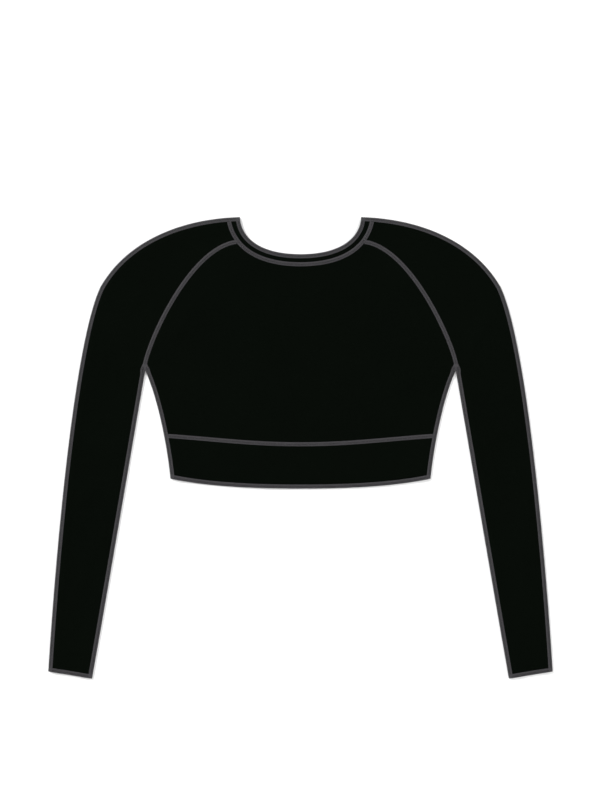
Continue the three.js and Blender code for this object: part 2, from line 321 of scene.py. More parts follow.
# Columns in millimetres and degrees: x, y, direction, half length, half width, rise
MAIN_CREASES = (
    (176, 161, 131, 64, 15, 1.9),
    (157, 96, 15, 62, 15, 2.4),
    (172, 52, 34, 44, 14, 1.5),
    (-171, 168, 51, 58, 14, 2.1),
    (-150, 86, 160, 70, 16, 2.1),
    (251, 164, 58, 50, 14, 2.2),
    (-256, 158, 126, 46, 13, 2.5),
    (281, 22, 31, 36, 12, 2.1),
    (291, -34, -26, 40, 13, 2.5),
    (-282, 4, 152, 38, 12, 2.4),
    (-294, -62, 27, 34, 13, 1.9),
    (309, -165, 101, 66, 12, 1.5),
    (-306, -188, 80, 74, 12, 1.6),
    (-62, 132, 76, 96, 20, 1.4),
    (48, 62, 97, 72, 22, 1.5),
    (92, 190, 118, 58, 17, 1.5),
)

# The same columns, for the small creases that only the finished cloth carries
SMALL_CREASES = (
    (196, 134, 142, 26, 5.0, 0.94),
    (203, 92, 8, 24, 5.5, 1.02),
    (190, 74, 26, 30, 6.0, -0.68),
    (-199, 126, 33, 24, 5.0, 0.85),
    (-204, 88, 171, 27, 5.5, 1.10),
    (-186, 62, 150, 25, 6.0, -0.59),
    (238, 132, 71, 28, 6.0, 1.02),
    (262, 118, 96, 34, 7.0, 0.85),
    (-240, 128, 110, 30, 6.0, 0.94),
    (-266, 110, 86, 36, 7.0, -0.59),
    (268, 46, 12, 22, 5.5, 0.94),
    (300, -4, -8, 26, 6.0, 0.85),
    (283, -66, 21, 24, 6.0, 0.77),
    (305, -94, -32, 26, 6.5, 0.94),
    (-270, 38, 168, 24, 5.5, 0.94),
    (-300, -22, 14, 28, 6.5, 1.02),
    (-286, -98, 156, 25, 6.0, 0.77),
    (321, -232, 62, 22, 6.0, 0.68),
    (-318, -256, 118, 24, 6.0, 0.68),
    (302, -276, 95, 26, 6.0, 0.59),
    (-30, 29, 86, 19, 6.0, 0.59),
    (14, 33, 99, 24, 6.5, 0.68),
    (88, 36, 104, 21, 6.0, 0.68),
    (128, 38, 77, 18, 5.5, 0.77),
    (-84, 35, 81, 23, 6.5, 0.77),
    (-136, 39, 108, 20, 5.5, 0.68),
    (28, 222, 62, 24, 8.0, 0.59),
    (-40, 214, 110, 30, 9.0, 0.59),
    (-104, 232, 148, 26, 8.0, 0.68),
    (-60, -22, 97, 20, 9.0, 0.51),
    (74, -20, 84, 22, 9.0, 0.51),
    (132, -14, 92, 18, 8.0, 0.59),
    (150, 268, 158, 34, 9.0, 0.77),
    (-158, 262, 18, 38, 9.0, 0.77),
    (224, 214, 128, 32, 8.0, 0.68),
    (-232, 206, 47, 34, 8.0, 0.77),
)

# The same columns, for the low creases on the back, where the cloth stands off what it lies on
BACK_CREASES = (
    (168, 150, 128, 58, 13, 0.42),
    (150, 92, 12, 52, 12, 0.46),
    (-176, 156, 54, 52, 13, 0.44),
    (-148, 98, 166, 56, 12, 0.38),
    (-36, 176, 84, 70, 16, 0.36),
    (44, 84, 101, 62, 17, 0.40),
    (96, 60, 72, 40, 12, 0.30),
    (-104, 44, 112, 38, 12, 0.32),
    (248, 172, 62, 44, 12, 0.44),
    (-252, 166, 121, 46, 12, 0.40),
    (276, 30, 28, 34, 11, 0.46),
    (296, -44, -22, 36, 11, 0.44),
    (-280, 12, 150, 36, 11, 0.46),
    (-298, -70, 24, 34, 11, 0.42),
    (313, -170, 97, 58, 11, 0.34),
    (-309, -196, 84, 60, 11, 0.36),
    (306, -262, 66, 30, 10, 0.30),
    (-66, -22, 96, 22, 10, 0.26),
    (58, -24, 84, 24, 10, 0.28),
)


def creases_from(table: tuple[tuple[float, ...], ...]) -> list[Crease]:
    """Reads a table of creases whose lengths are in millimetres."""
    creases = []
    for x, y, direction, half_length, half_width, rise in table:
        lengths = (half_length * MM, half_width * MM, rise * MM)
        creases.append(Crease(x * MM, y * MM, direction, *lengths))
    return creases


@dataclass(frozen=True)
class ClothSizes:
    """Thickness, folds and rest heights of the cloth."""

    thickness: float = 0.9 * MM
    half_gap: float = 0.02 * MM
    fold_radius: float = 1.6 * MM
    fold_run: float = 7.0 * MM
    back_rest: float = 0.36 * MM
    back_most: float = 0.5 * MM
    front_rest: float = 2.9 * MM
    lowest: float = 2.45 * MM
    highest: float = 6.0 * MM
    bead_height: float = 1.3 * MM
    bead_reach: float = 8.0 * MM
    settle_reach: float = 26.0 * MM
    wave_height: float = 0.35 * MM
    wave_length_x: float = 151.0 * MM
    wave_length_y: float = 117.0 * MM
    ripple_height: float = 0.09 * MM
    ripple_length: float = 43.0 * MM
    ripple_bend: float = 2.0
    ripple_squeeze: float = 0.83
    ripple_phase: float = 1.1
    seam_dip: float = 0.22 * MM
    seam_half_width: float = 2.8 * MM
    swell_height: float = 0.14 * MM
    swell_place: float = 5.4 * MM
    swell_width: float = 2.4 * MM
    pucker_height: float = 0.13 * MM
    pucker_length: float = 13.0 * MM
    fold_pucker_share: float = 1.4

    @property
    def fold_centre(self) -> float:
        """Height at which front and back meet."""
        return self.fold_radius

    def fold_drop(self, layer: Layer) -> float:
        """Vertical radius of the fold on one layer."""
        if layer is Layer.FRONT:
            return self.fold_radius
        return self.fold_centre - self.back_rest


@dataclass(frozen=True)
class Gather:
    """How unevenly cloth gathers along stitching. Phases are angles.

    Attributes:
        left_phase: How far the left half is out of step with the right.
        wander: How far gathers stray from an even spacing.
        wander_rate: How often they do so, in turns for each gather.
        wander_phase: Where that starts.
        swing: How much their height varies, as a share.
        swing_rate: How often it does, in turns for each gather.
        swing_phase: Where that starts.
    """

    left_phase: float = 1.9
    wander: float = 1.7
    wander_rate: float = 0.31
    wander_phase: float = 0.6
    swing: float = 0.38
    swing_rate: float = 0.173
    swing_phase: float = 2.1


@dataclass(frozen=True)
class Fold:
    """A line at +X where the front turns down to meet the back.

    Attributes:
        line: The fold's points.
        run: How far from its start the turn is complete, or 0 if it starts complete.
    """

    line: Array
    run: float = 0.0

    def turned(self, along: Array) -> Array:
        """How far the cloth has turned at each distance from the fold's start, from 0 to 1."""
        if self.run == 0.0:
            return np.ones(len(along))
        return smooth_step(along / self.run)


class ClothSurface:
    """The outer surface of the laid cloth, on both layers."""

    fold_points = 121
    seam_points = 51
    edge_points = 41

    def __init__(self, pattern: Pattern, sizes: ClothSizes) -> None:
        """Keeps the lines that shape the surface.

        Args:
            pattern: The outline.
            sizes: Thickness, folds and rest heights.
        """
        self.pattern = pattern
        self.sizes = sizes
        self.gather = Gather()
        self.creases = creases_from(MAIN_CREASES) + creases_from(SMALL_CREASES)
        self.back_creases = creases_from(BACK_CREASES)
        steps = np.linspace(0, 1, self.fold_points)
        self.folds = [
            Fold(points_at_shares(pattern.over_arm(), steps)),
            Fold(points_at_shares(pattern.under_arm(), steps), sizes.fold_run),
            Fold(points_at_shares(pattern.side(), steps), sizes.fold_run),
        ]
        seams = (pattern.neck_seam(), pattern.raglan(), pattern.waist())
        edges = (pattern.neck_edge(), pattern.hem(), pattern.cuff())
        steps = np.linspace(0, 1, self.seam_points)
        self.seams = [points_at_shares(line, steps) for line in seams]
        steps = np.linspace(0, 1, self.edge_points)
        self.edges = [points_at_shares(line, steps) for line in edges]

    def fold_place(self, points: Array) -> tuple[Array, Array, Array]:
        """Finds the nearest fold to each point.

        Args:
            points: The points, one row each.

        Returns:
            The distance from the fold, the place along it, and how far it has turned there.
        """
        found = [nearest_on_line(on_right(points), fold.line) for fold in self.folds]
        distances = np.stack([distance for distance, _ in found])
        along = np.stack([place for _, place in found])
        turned = np.stack([fold.turned(place) for fold, place in zip(self.folds, along)])
        best = distances.argmin(axis=0)
        columns = np.arange(len(points))
        return distances[best, columns], along[best, columns], turned[best, columns]

    def pucker(self, along: Array, points: Array) -> Array:
        """Uneven gathering of the cloth along a line of stitching, from -1 to 1."""
        gather = self.gather
        left = np.where(points[:, 0] < 0.0, gather.left_phase, 0.0)
        phase = 2.0 * math.pi * along / self.sizes.pucker_length + left
        wander = gather.wander * np.sin(gather.wander_rate * phase + gather.wander_phase)
        swing = gather.swing * np.sin(gather.swing_rate * phase + gather.swing_phase)
        return np.sin(phase + wander) * (1.0 - gather.swing + swing)

    def stitched_relief(self, points: Array, fold_gap: Array, fold_along: Array) -> Array:
        """How stitching presses the cloth down, and how the cloth swells beside it."""
        sizes = self.sizes
        relief = np.zeros(len(points))
        width = 2.0 * sizes.seam_half_width
        past = width + sizes.swell_width
        lines = [(line, sizes.seam_half_width, sizes.swell_place) for line in self.seams]
        lines += [(line, width, past) for line in self.edges]
        for line, reach, place in lines:
            gap, along = nearest_on_line(on_right(points), line)
            dip = sizes.seam_dip * np.exp(-((gap / reach) ** 4))
            beside = np.exp(-(((gap - place) / sizes.swell_width) ** 2))
            swell = sizes.swell_height + sizes.pucker_height * self.pucker(along, points)
            relief += beside * swell - dip
        beside = np.exp(-(((fold_gap - past) / sizes.swell_width) ** 2))
        gathered = beside * self.pucker(fold_along, points)
        return relief + sizes.fold_pucker_share * sizes.pucker_height * gathered

    def back_height(self, points: Array) -> Array:
        """Height of the back's outer surface, away from the turn of its folds."""
        sizes = self.sizes
        gap, along, _ = self.fold_place(points)
        inset = np.maximum(gap - sizes.fold_radius, 0.0)
        lift = np.zeros(len(points))
        for crease in self.back_creases:
            lift += crease.height(points)
        pulled = np.maximum(-self.stitched_relief(points, gap, along), 0.0)
        settled = smooth_step(inset / sizes.settle_reach)
        near = smooth_step(inset / sizes.fold_radius)
        return sizes.back_rest + settled * np.minimum(lift, sizes.back_most) + near * pulled

    def front_height(self, points: Array) -> Array:
        """Height of the front's outer surface, away from the turn of its folds."""
        sizes = self.sizes
        gap, along, _ = self.fold_place(points)
        inset = np.maximum(gap - sizes.fold_radius, 0.0)
        settled = smooth_step(inset / sizes.settle_reach)
        bead_share = inset / sizes.bead_reach
        bead = sizes.bead_height * bead_share * np.exp(1.0 - bead_share)
        crown = 2.0 * sizes.fold_radius
        flat = crown + (sizes.front_rest - crown) * settled
        turn_x = 2.0 * math.pi * points[:, 0]
        turn_y = 2.0 * math.pi * points[:, 1]
        wave = np.sin(turn_x / sizes.wave_length_x) * np.cos(turn_y / sizes.wave_length_y)
        ripple_x = np.sin(turn_x / sizes.ripple_length + sizes.ripple_bend * wave)
        ripple_y = sizes.ripple_squeeze * turn_y / sizes.ripple_length + sizes.ripple_phase
        ripple = ripple_x * np.cos(ripple_y)
        lift = sizes.wave_height * wave + sizes.ripple_height * ripple
        for crease in self.creases:
            lift += crease.height(points)
        relief = self.stitched_relief(points, gap, along) * smooth_step(inset / sizes.fold_radius)
        height = flat + bead + settled * lift + relief
        clear = self.back_height(points) + 2.0 * sizes.thickness + sizes.half_gap
        return np.clip(height, np.maximum(sizes.lowest, clear), sizes.highest)

    def flat_height(self, layer: Layer, points: Array) -> Array:
        """Height of a layer's outer surface, away from the turn of its folds."""
        if layer is Layer.FRONT:
            return self.front_height(points)
        return self.back_height(points)

    def outer_height(self, layer: Layer, points: Array) -> Array:
        """Height of a layer's outer surface, with the turn of its folds."""
        sizes = self.sizes
        flat = self.flat_height(layer, points)
        gap, _, turned = self.fold_place(points)
        round_fold = np.clip(1.0 - gap / sizes.fold_radius, 0.0, 1.0)
        drop = (flat - sizes.fold_centre) * np.sqrt(1.0 - round_fold**2)
        return flat + (sizes.fold_centre + drop - flat) * turned


# Meshes


def mesh_object(name: str, points: Array, faces: Array, grain: Array) -> bpy.types.Object:
    """Makes a smooth mesh object at the origin, and unwraps it by its cloth's own grain.

    Args:
        name: The object's name.
        points: One row of x, y and z for each vertex.
        faces: One row of four vertex numbers for each face.
        grain: One row of u and v, in metres, for each vertex.

    Returns:
        The new object.
    """
    mesh = bpy.data.meshes.new(name)
    mesh.vertices.add(len(points))
    mesh.vertices.foreach_set("co", points.astype(np.float32).ravel())
    mesh.loops.add(faces.size)
    mesh.loops.foreach_set("vertex_index", faces.astype(np.int32).ravel())
    mesh.polygons.add(len(faces))
    mesh.polygons.foreach_set("loop_start", np.arange(0, faces.size, 4, dtype=np.int32))
    mesh.polygons.foreach_set("loop_total", np.full(len(faces), 4, dtype=np.int32))
    mesh.polygons.foreach_set("use_smooth", np.ones(len(faces), dtype=bool))
    unwrapped = mesh.uv_layers.new(name=GRAIN_MAP)
    unwrapped.data.foreach_set("uv", grain[faces.ravel()].astype(np.float32).ravel())
    mesh.update(calc_edges=True)
    mesh.validate()
    made = bpy.data.objects.new(name, mesh)
    bpy.context.scene.collection.objects.link(made)
    return made


def wall_faces(rows: int, columns: int) -> Array:
    """Faces of a closed wall whose top grid's vertices come before its bottom grid's."""
    top = np.arange(rows * columns).reshape(rows, columns)
    bottom = top + rows * columns

    def quads(a: Array, b: Array, c: Array, d: Array) -> Array:
        """Lines up the four corners of many faces."""
        return np.stack([a.ravel(), b.ravel(), c.ravel(), d.ravel()], axis=1)

    upper = quads(top[:-1, :-1], top[1:, :-1], top[1:, 1:], top[:-1, 1:])
    lower = quads(bottom[:-1, :-1], bottom[:-1, 1:], bottom[1:, 1:], bottom[1:, :-1])
    left = quads(top[:-1, 0], bottom[:-1, 0], bottom[1:, 0], top[1:, 0])
    right = quads(top[:-1, -1], top[1:, -1], bottom[1:, -1], bottom[:-1, -1])
    first = quads(top[0, :-1], top[0, 1:], bottom[0, 1:], bottom[0, :-1])
    last = quads(top[-1, :-1], bottom[-1, :-1], bottom[-1, 1:], top[-1, 1:])
    return np.vstack([upper, lower, left, right, first, last])


def put_on(piece: bpy.types.Object, finish: Material) -> None:
    """Gives a piece its material and its body."""
    piece.data.materials.append(finish)
    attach(piece, BODY)


# Materials

# Places of the colour sockets on a Mix node
MIX_LOW, MIX_HIGH, MIX_RESULT = 6, 7, 2

# One knitted loop: how round its legs are, how many courses they lean over, its height and rise
LEG_ROUNDNESS = 0.6
LEG_LEAN = 0.8
LOOP_HEIGHT = 0.55
LOOP_RISE = 0.45


class Nodes:
    """Adds nodes to one node tree, in a row from left to right."""

    spacing = 180.0

    def __init__(self, tree: bpy.types.NodeTree) -> None:
        """Keeps the tree that nodes are added to."""
        self.tree = tree
        self.step = 0

    def add(self, kind: str, **settings: object) -> bpy.types.Node:
        """Adds one node and sets its options."""
        node = self.tree.nodes.new(kind)
        node.location = (self.spacing * self.step, 0.0)
        self.step += 1
        for key, value in settings.items():
            setattr(node, key, value)
        return node

    def feed(self, socket: Socket, value: object) -> None:
        """Links a socket into another, or sets it to a plain value."""
        if isinstance(value, Socket):
            self.tree.links.new(value, socket)
        else:
            socket.default_value = value

    def maths(self, operation: str, *values: object) -> Socket:
        """Adds a Math node and gives back its result."""
        node = self.add("ShaderNodeMath", operation=operation)
        for socket, value in zip(node.inputs, values):
            self.feed(socket, value)
        return node.outputs[0]

    def split(self, vector: Socket) -> tuple[Socket, ...]:
        """Splits a vector into its X, Y and Z."""
        node = self.add("ShaderNodeSeparateXYZ")
        self.feed(node.inputs[0], vector)
        return tuple(node.outputs)

    def noise(self, vector: object, scale: float, detail: float) -> Socket:
        """Adds a Noise Texture and gives back its value."""
        node = self.add("ShaderNodeTexNoise")
        self.feed(node.inputs["Vector"], vector)
        node.inputs["Scale"].default_value = scale
        node.inputs["Detail"].default_value = detail
        return node.outputs["Fac"]

    def blend(self, factor: object, low: Colour, high: Colour) -> Socket:
        """Mixes two colours by a factor."""
        node = self.add("ShaderNodeMix", data_type="RGBA")
        self.feed(node.inputs["Factor"], factor)
        node.inputs[MIX_LOW].default_value = (*low, 1.0)
        node.inputs[MIX_HIGH].default_value = (*high, 1.0)
        return node.outputs[MIX_RESULT]

    def bump(self, height: object, strength: float, distance: float) -> Socket:
        """Adds a Bump node and gives back its normal."""
        node = self.add("ShaderNodeBump")
        node.inputs["Strength"].default_value = strength
        node.inputs["Distance"].default_value = distance
        self.feed(node.inputs["Height"], height)
        return node.outputs["Normal"]


def knit_group() -> bpy.types.NodeTree:
    """Builds the node group that draws plain knitting from a map in metres.

    Returns:
        A group with the inputs Grain, Wale and Course, and the outputs Height and Gap.
    """
    group = bpy.data.node_groups.new("plain knitting", "ShaderNodeTree")
    sockets = (
        ("Grain", "INPUT", "NodeSocketVector"),
        ("Wale", "INPUT", "NodeSocketFloat"),
        ("Course", "INPUT", "NodeSocketFloat"),
        ("Height", "OUTPUT", "NodeSocketFloat"),
        ("Gap", "OUTPUT", "NodeSocketFloat"),
    )
    for name, way, kind in sockets:
        group.interface.new_socket(name=name, in_out=way, socket_type=kind)
    nodes = Nodes(group)
    source = nodes.add("NodeGroupInput")
    x, y, _ = nodes.split(source.outputs["Grain"])
    wale = nodes.maths("DIVIDE", x, source.outputs["Wale"])
    from_middle = nodes.maths("ABSOLUTE", nodes.maths("SUBTRACT", nodes.maths("FRACT", wale), 0.5))
    spread = nodes.maths("MULTIPLY", from_middle, 2.0)
    off_leg = nodes.maths("ABSOLUTE", nodes.maths("SUBTRACT", spread, 0.5))
    leg = nodes.maths("SUBTRACT", 1.0, nodes.maths("MULTIPLY", off_leg, 2.0))
    round_leg = nodes.maths("POWER", leg, LEG_ROUNDNESS)
    course = nodes.maths("DIVIDE", y, source.outputs["Course"])
    slant = nodes.maths("SUBTRACT", course, nodes.maths("MULTIPLY", spread, LEG_LEAN))
    turn = nodes.maths("MULTIPLY", nodes.maths("FRACT", slant), math.pi)
    loop = nodes.maths("MULTIPLY_ADD", nodes.maths("SINE", turn), LOOP_RISE, LOOP_HEIGHT)
    height = nodes.maths("MULTIPLY", round_leg, loop)
    result = nodes.add("NodeGroupOutput")
    nodes.feed(result.inputs["Height"], height)
    nodes.feed(result.inputs["Gap"], nodes.maths("SUBTRACT", 1.0, height))
    return group


def new_material(name: str) -> tuple[Material, Nodes, bpy.types.Node]:
    """Starts a material, and gives back it, its node builder and its main shader."""
    material = bpy.data.materials.new(name)
    material.use_nodes = True
    shader = material.node_tree.nodes["Principled BSDF"]
    return material, Nodes(material.node_tree), shader


@dataclass(frozen=True)
class YarnFinish:
    """What the finishes of cloth and thread have in common.

    Attributes:
        dark: The colour deep between the yarns, where painted shade darkens it, and where the tone runs
            darker.
        bright: The colour where a yarn stands out, painted lighter as if lit there, and where the tone
            runs lighter.
        roughness_low: The least roughness.
        roughness_high: The greatest roughness.
        relief: Height of the yarn's form.
        bump: How strongly that form shows, from 0 to 1.
        gloss: Level of the plain reflection.
        sheen: Weight of the soft shine of its fibres.
        sheen_roughness: How widely that shine spreads.
    """

    dark: Colour
    bright: Colour
    roughness_low: float
    roughness_high: float
    relief: float
    bump: float
    gloss: float
    sheen: float
    sheen_roughness: float

    def connect(
        self, nodes: Nodes, shader: bpy.types.Node, shade: Socket, rough: Socket, form: Socket
    ) -> None:
        """Connects a material's values to its main shader.

        Args:
            nodes: The material's node builder.
            shader: Its main shader.
            shade: Where the colour lies, from 0 for dark to 1 for bright: painted shade in the yarn's
                hollows, mixed with uneven tone.
            rough: Where the roughness lies, from 0 for its least to 1 for its greatest.
            form: Height of the yarn's form, from 0 to 1.
        """
        # Painted shade: the colour darkens in the yarn's hollows and lightens on its raised parts, on
        # top of uneven tone.
        nodes.feed(shader.inputs["Base Color"], nodes.blend(shade, self.dark, self.bright))
        spread = self.roughness_high - self.roughness_low
        roughness = nodes.maths("MULTIPLY_ADD", rough, spread, self.roughness_low)
        nodes.feed(shader.inputs["Roughness"], roughness)
        nodes.feed(shader.inputs["Normal"], nodes.bump(form, self.bump, self.relief))
        shader.inputs["Specular IOR Level"].default_value = self.gloss
        shader.inputs["Sheen Weight"].default_value = self.sheen
        shader.inputs["Sheen Roughness"].default_value = self.sheen_roughness


@dataclass(frozen=True)
class JerseyFinish(YarnFinish):
    """Black stretch jersey: a fine plain knit, nearly matt."""

    dark: Colour = (0.0004, 0.0009, 0.0004)
    bright: Colour = (0.0017, 0.0030, 0.0017)
    roughness_low: float = 0.78
    roughness_high: float = 0.94
    relief: float = 0.16 * MM
    bump: float = 0.8
    gloss: float = 0.02
    sheen: float = 0.14
    sheen_roughness: float = 0.15
    wale: float = 0.72 * MM
    course: float = 0.52 * MM
    fibre_scale: float = 5200.0
    dye_scale: float = 9.0
    knit_share: float = 0.55
    fibre_share: float = 0.25
    dye_share: float = 0.30
    fuzz_share: float = 0.22

    def build(self, knit: bpy.types.NodeTree) -> Material:
        """Builds the material.

        Args:
            knit: The node group that draws plain knitting.

        Returns:
            The new material.
        """
        material, nodes, shader = new_material("black jersey")
        grain = nodes.add("ShaderNodeUVMap", uv_map=GRAIN_MAP)
        place = nodes.add("ShaderNodeTexCoord")
        knitting = nodes.add("ShaderNodeGroup", node_tree=knit)
        nodes.feed(knitting.inputs["Grain"], grain.outputs["UV"])
        knitting.inputs["Wale"].default_value = self.wale
        knitting.inputs["Course"].default_value = self.course
        fibre = nodes.noise(grain.outputs["UV"], self.fibre_scale, detail=3.0)
        dye = nodes.noise(place.outputs["Object"], self.dye_scale, detail=4.0)
        # Painted shade: the knitting's height darkens the colour in the gaps between the loops; fibre
        # and dye noise add uneven tone.
        knitted = nodes.maths("MULTIPLY", knitting.outputs["Height"], self.knit_share)
        hairy = nodes.maths("MULTIPLY_ADD", fibre, self.fibre_share, knitted)
        shade = nodes.maths("MULTIPLY_ADD", dye, self.dye_share, hairy)
        form = nodes.maths("MULTIPLY_ADD", fibre, self.fuzz_share, knitting.outputs["Height"])
        self.connect(nodes, shader, shade, knitting.outputs["Gap"], form)
        return material


@dataclass(frozen=True)
class ThreadFinish(YarnFinish):
    """Dull grey sewing thread with a twisted ply."""

    dark: Colour = (0.0288, 0.0275, 0.0298)
    bright: Colour = (0.0652, 0.0618, 0.0675)
    roughness_low: float = 0.62
    roughness_high: float = 0.86
    relief: float = 0.05 * MM
    bump: float = 0.7
    gloss: float = 0.20
    sheen: float = 0.05
    sheen_roughness: float = 0.5
    twist: float = 0.55 * MM
    fibre_scale: float = 3800.0
    lot_scale: float = 60.0
    ply_share: float = 0.45
    fibre_share: float = 0.35
    lot_share: float = 0.25

    def build(self) -> Material:
        """Builds the material, which reads the length along the thread from its map."""
        material, nodes, shader = new_material("grey thread")
        grain = nodes.add("ShaderNodeUVMap", uv_map=GRAIN_MAP)
        place = nodes.add("ShaderNodeTexCoord")
        length, around, _ = nodes.split(grain.outputs["UV"])
        spiral = nodes.maths("ADD", nodes.maths("DIVIDE", length, self.twist), around)
        angle = nodes.maths("MULTIPLY", spiral, 2.0 * math.pi)
        ply = nodes.maths("MULTIPLY_ADD", nodes.maths("SINE", angle), 0.5, 0.5)
        fibre = nodes.noise(place.outputs["Object"], self.fibre_scale, detail=2.0)
        lot = nodes.noise(place.outputs["Object"], self.lot_scale, detail=2.0)
        hair = nodes.maths("MULTIPLY", fibre, self.fibre_share)
        form = nodes.maths("MULTIPLY_ADD", ply, self.ply_share, hair)
        # Painted shade: the ply's relief, which also drives the bump, darkens the colour in the twist's
        # grooves; lot and fibre noise add uneven tone.
        shade = nodes.maths("MULTIPLY_ADD", lot, self.lot_share, form)
        self.connect(nodes, shader, shade, fibre, form)
        return material


@dataclass(frozen=True)
class FloorFinish:
    """A plain white studio floor."""

    colour: Colour = (0.93, 0.93, 0.93)
    dimmed: float = 0.995
    mottle_scale: float = 3.0
    roughness: float = 0.9

    def build(self) -> Material:
        """Builds the material."""
        material, nodes, shader = new_material("white floor")
        place = nodes.add("ShaderNodeTexCoord")
        mottle = nodes.noise(place.outputs["Object"], self.mottle_scale, detail=2.0)
        dimmer = tuple(self.dimmed * part for part in self.colour)
        nodes.feed(shader.inputs["Base Color"], nodes.blend(mottle, dimmer, self.colour))
        shader.inputs["Roughness"].default_value = self.roughness
        shader.inputs["Specular IOR Level"].default_value = 0.0
        return material


# Cut pieces of cloth


@dataclass
class PieceEdges:
    """The four edges of a cut piece.

    Attributes:
        top: The edge nearest the neck, from left to right.
        bottom: The edge farthest from the neck, from left to right.
        left: The left edge, from top to bottom.
        right: The right edge, from top to bottom.
        left_fold_from: How far down the left edge its fold begins, or None if it is a seam.
        right_fold_from: The same for the right edge.
        right_share: Share of the right edge that lies level with the left fold's beginning.
    """

    top: Array
    bottom: Array
    left: Array
    right: Array
    left_fold_from: float | None = None
    right_fold_from: float | None = None
    right_share: float | None = None


@dataclass
class ClothPiece:
    """One cut piece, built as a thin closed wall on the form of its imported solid.

    Attributes:
        name: Name of the solid that it stands for.
        layer: The layer that it belongs to.
        surface: The outer surface that it follows.
        cell: Size of its faces, away from its edges.
        mirror: Whether it is turned over to the side at -X.
        grain_angle: How far the knit leans from straight down.
        object: The finished piece.
        flat: Size of the flat cut.
        flat_area: Its area.
        samples: How many points a line across the piece is measured at.
        turn_angles: Where the columns lie round a fold, in degrees.
        eased_insets: Where the columns and rows lie beside a cut edge.
        eased_shares: How far the wall is thinned at each of them, as a share of its thickness.
        next_insets: Where the columns lie past them.
        rows_past_fold: Where the rows lie past the beginning of a fold, in millimetres.
        clear_share: How near a row may come to the next, as a share of a face.
    """

    name: str
    layer: Layer
    surface: ClothSurface
    cell: float
    mirror: bool = False
    grain_angle: float = 0.0
    object: bpy.types.Object | None = None
    flat: tuple[float, float] = (0.0, 0.0)
    flat_area: float = 0.0
    samples: int = 161
    turn_angles: tuple[float, ...] = (0.0, 14.0, 30.0, 48.0, 68.0, 90.0)
    eased_insets: tuple[float, ...] = (0.0, 0.12 * MM, 0.35 * MM, 0.7 * MM, 1.1 * MM, 1.6 * MM)
    eased_shares: tuple[float, ...] = (0.34, 0.12, 0.03, 0.0, 0.0, 0.0)
    next_insets: tuple[float, ...] = (2.4 * MM, 3.5 * MM, 5.0 * MM, 7.0 * MM)
    rows_past_fold: tuple[float, ...] = (0.0, 1.2, 2.6, 4.4, 7.0, 10.0, 13.0, 16.0)
    clear_share: float = 0.45

    def edges(self) -> PieceEdges:
        """The piece's four edges, on the side at +X if it is a sleeve."""
        raise NotImplementedError

    def row_places(self, edges: PieceEdges) -> tuple[Array, Array]:
        """Chooses the rows of the piece.

        Args:
            edges: The piece's edges.

        Returns:
            Each row's share of the way down the left edge, and how far its wall is eased.
        """
        length = lengths_along(edges.left)[-1]
        near = np.array(self.eased_insets + self.next_insets[:2]) + self.surface.sizes.half_gap
        near_shares = near / length
        fixed = [near_shares, 1.0 - near_shares]
        if edges.left_fold_from:
            fixed.append(edges.left_fold_from + np.array(self.rows_past_fold) * MM / length)
        kept = np.concatenate(fixed)
        kept = kept[(kept >= near_shares[0]) & (kept <= 1.0 - near_shares[0])]
        even = np.linspace(0.0, 1.0, max(int(round(length / self.cell)), 2) + 1)
        room = self.clear_share * self.cell / length
        clear = np.abs(even[:, None] - kept[None, :]).min(axis=1) > room
        inside = (even > near_shares[-1]) & (even < 1.0 - near_shares[-1])
        shares = np.unique(np.concatenate([kept, even[clear & inside]]))
        from_edge = np.minimum(shares, 1.0 - shares) * length - self.surface.sizes.half_gap
        ease = np.interp(from_edge, self.eased_insets, self.eased_shares)
        return shares, ease

    def row_lines(self, edges: PieceEdges, shares: Array) -> Array:
        """Lines across the piece, blended between its four edges."""
        u = np.linspace(0.0, 1.0, self.samples)[None, :, None]
        v = shares[:, None, None]
        top = points_at_shares(edges.top, u.ravel())[None]
        bottom = points_at_shares(edges.bottom, u.ravel())[None]
        left = points_at_shares(edges.left, shares)[:, None]
        right_shares = shares
        if edges.right_share is not None:
            known = (0.0, edges.left_fold_from, 1.0)
            right_shares = np.interp(shares, known, (0.0, edges.right_share, 1.0))
        right = points_at_shares(edges.right, right_shares)[:, None]
        corners_left = (1.0 - v) * top[:, :1] + v * bottom[:, :1]
        corners_right = (1.0 - v) * top[:, -1:] + v * bottom[:, -1:]
        sides = (1.0 - u) * (left - corners_left) + u * (right - corners_right)
        return (1.0 - v) * top + v * bottom + sides

    def fold_shares(self, fold_from: float | None, shares: Array, length: float) -> Array:
        """How far one side has turned round its fold in each row, from 0 to 1."""
        if fold_from is None:
            return np.zeros(len(shares))
        if fold_from <= 0.0:
            return np.ones(len(shares))
        return smooth_step((shares - fold_from) * length / self.surface.sizes.fold_run)

    def side_insets(self, cut: float, turned: Array) -> Array:
        """How far in the columns near one side lie, in each row.

        Args:
            cut: How far they lie below the wall's outer surface.
            turned: How far that side has turned round a fold in each row, from 0 to 1.

        Returns:
            One row of distances for each row of the piece.
        """
        sizes = self.surface.sizes
        cosines = np.cos(np.radians(self.turn_angles))
        at_fold = sizes.fold_radius - (sizes.fold_radius - cut) * cosines
        at_seam = np.array(self.eased_insets) + sizes.half_gap
        return at_seam + (at_fold - at_seam) * turned[:, None]

    def fold_heights(self, cut: float) -> Array:
        """Heights of the columns round a fold, at a depth below the wall's outer surface."""
        sizes = self.surface.sizes
        drop = (sizes.fold_drop(self.layer) - cut) * np.sin(np.radians(self.turn_angles))
        return sizes.fold_centre + self.layer.value * np.maximum(drop, sizes.half_gap)

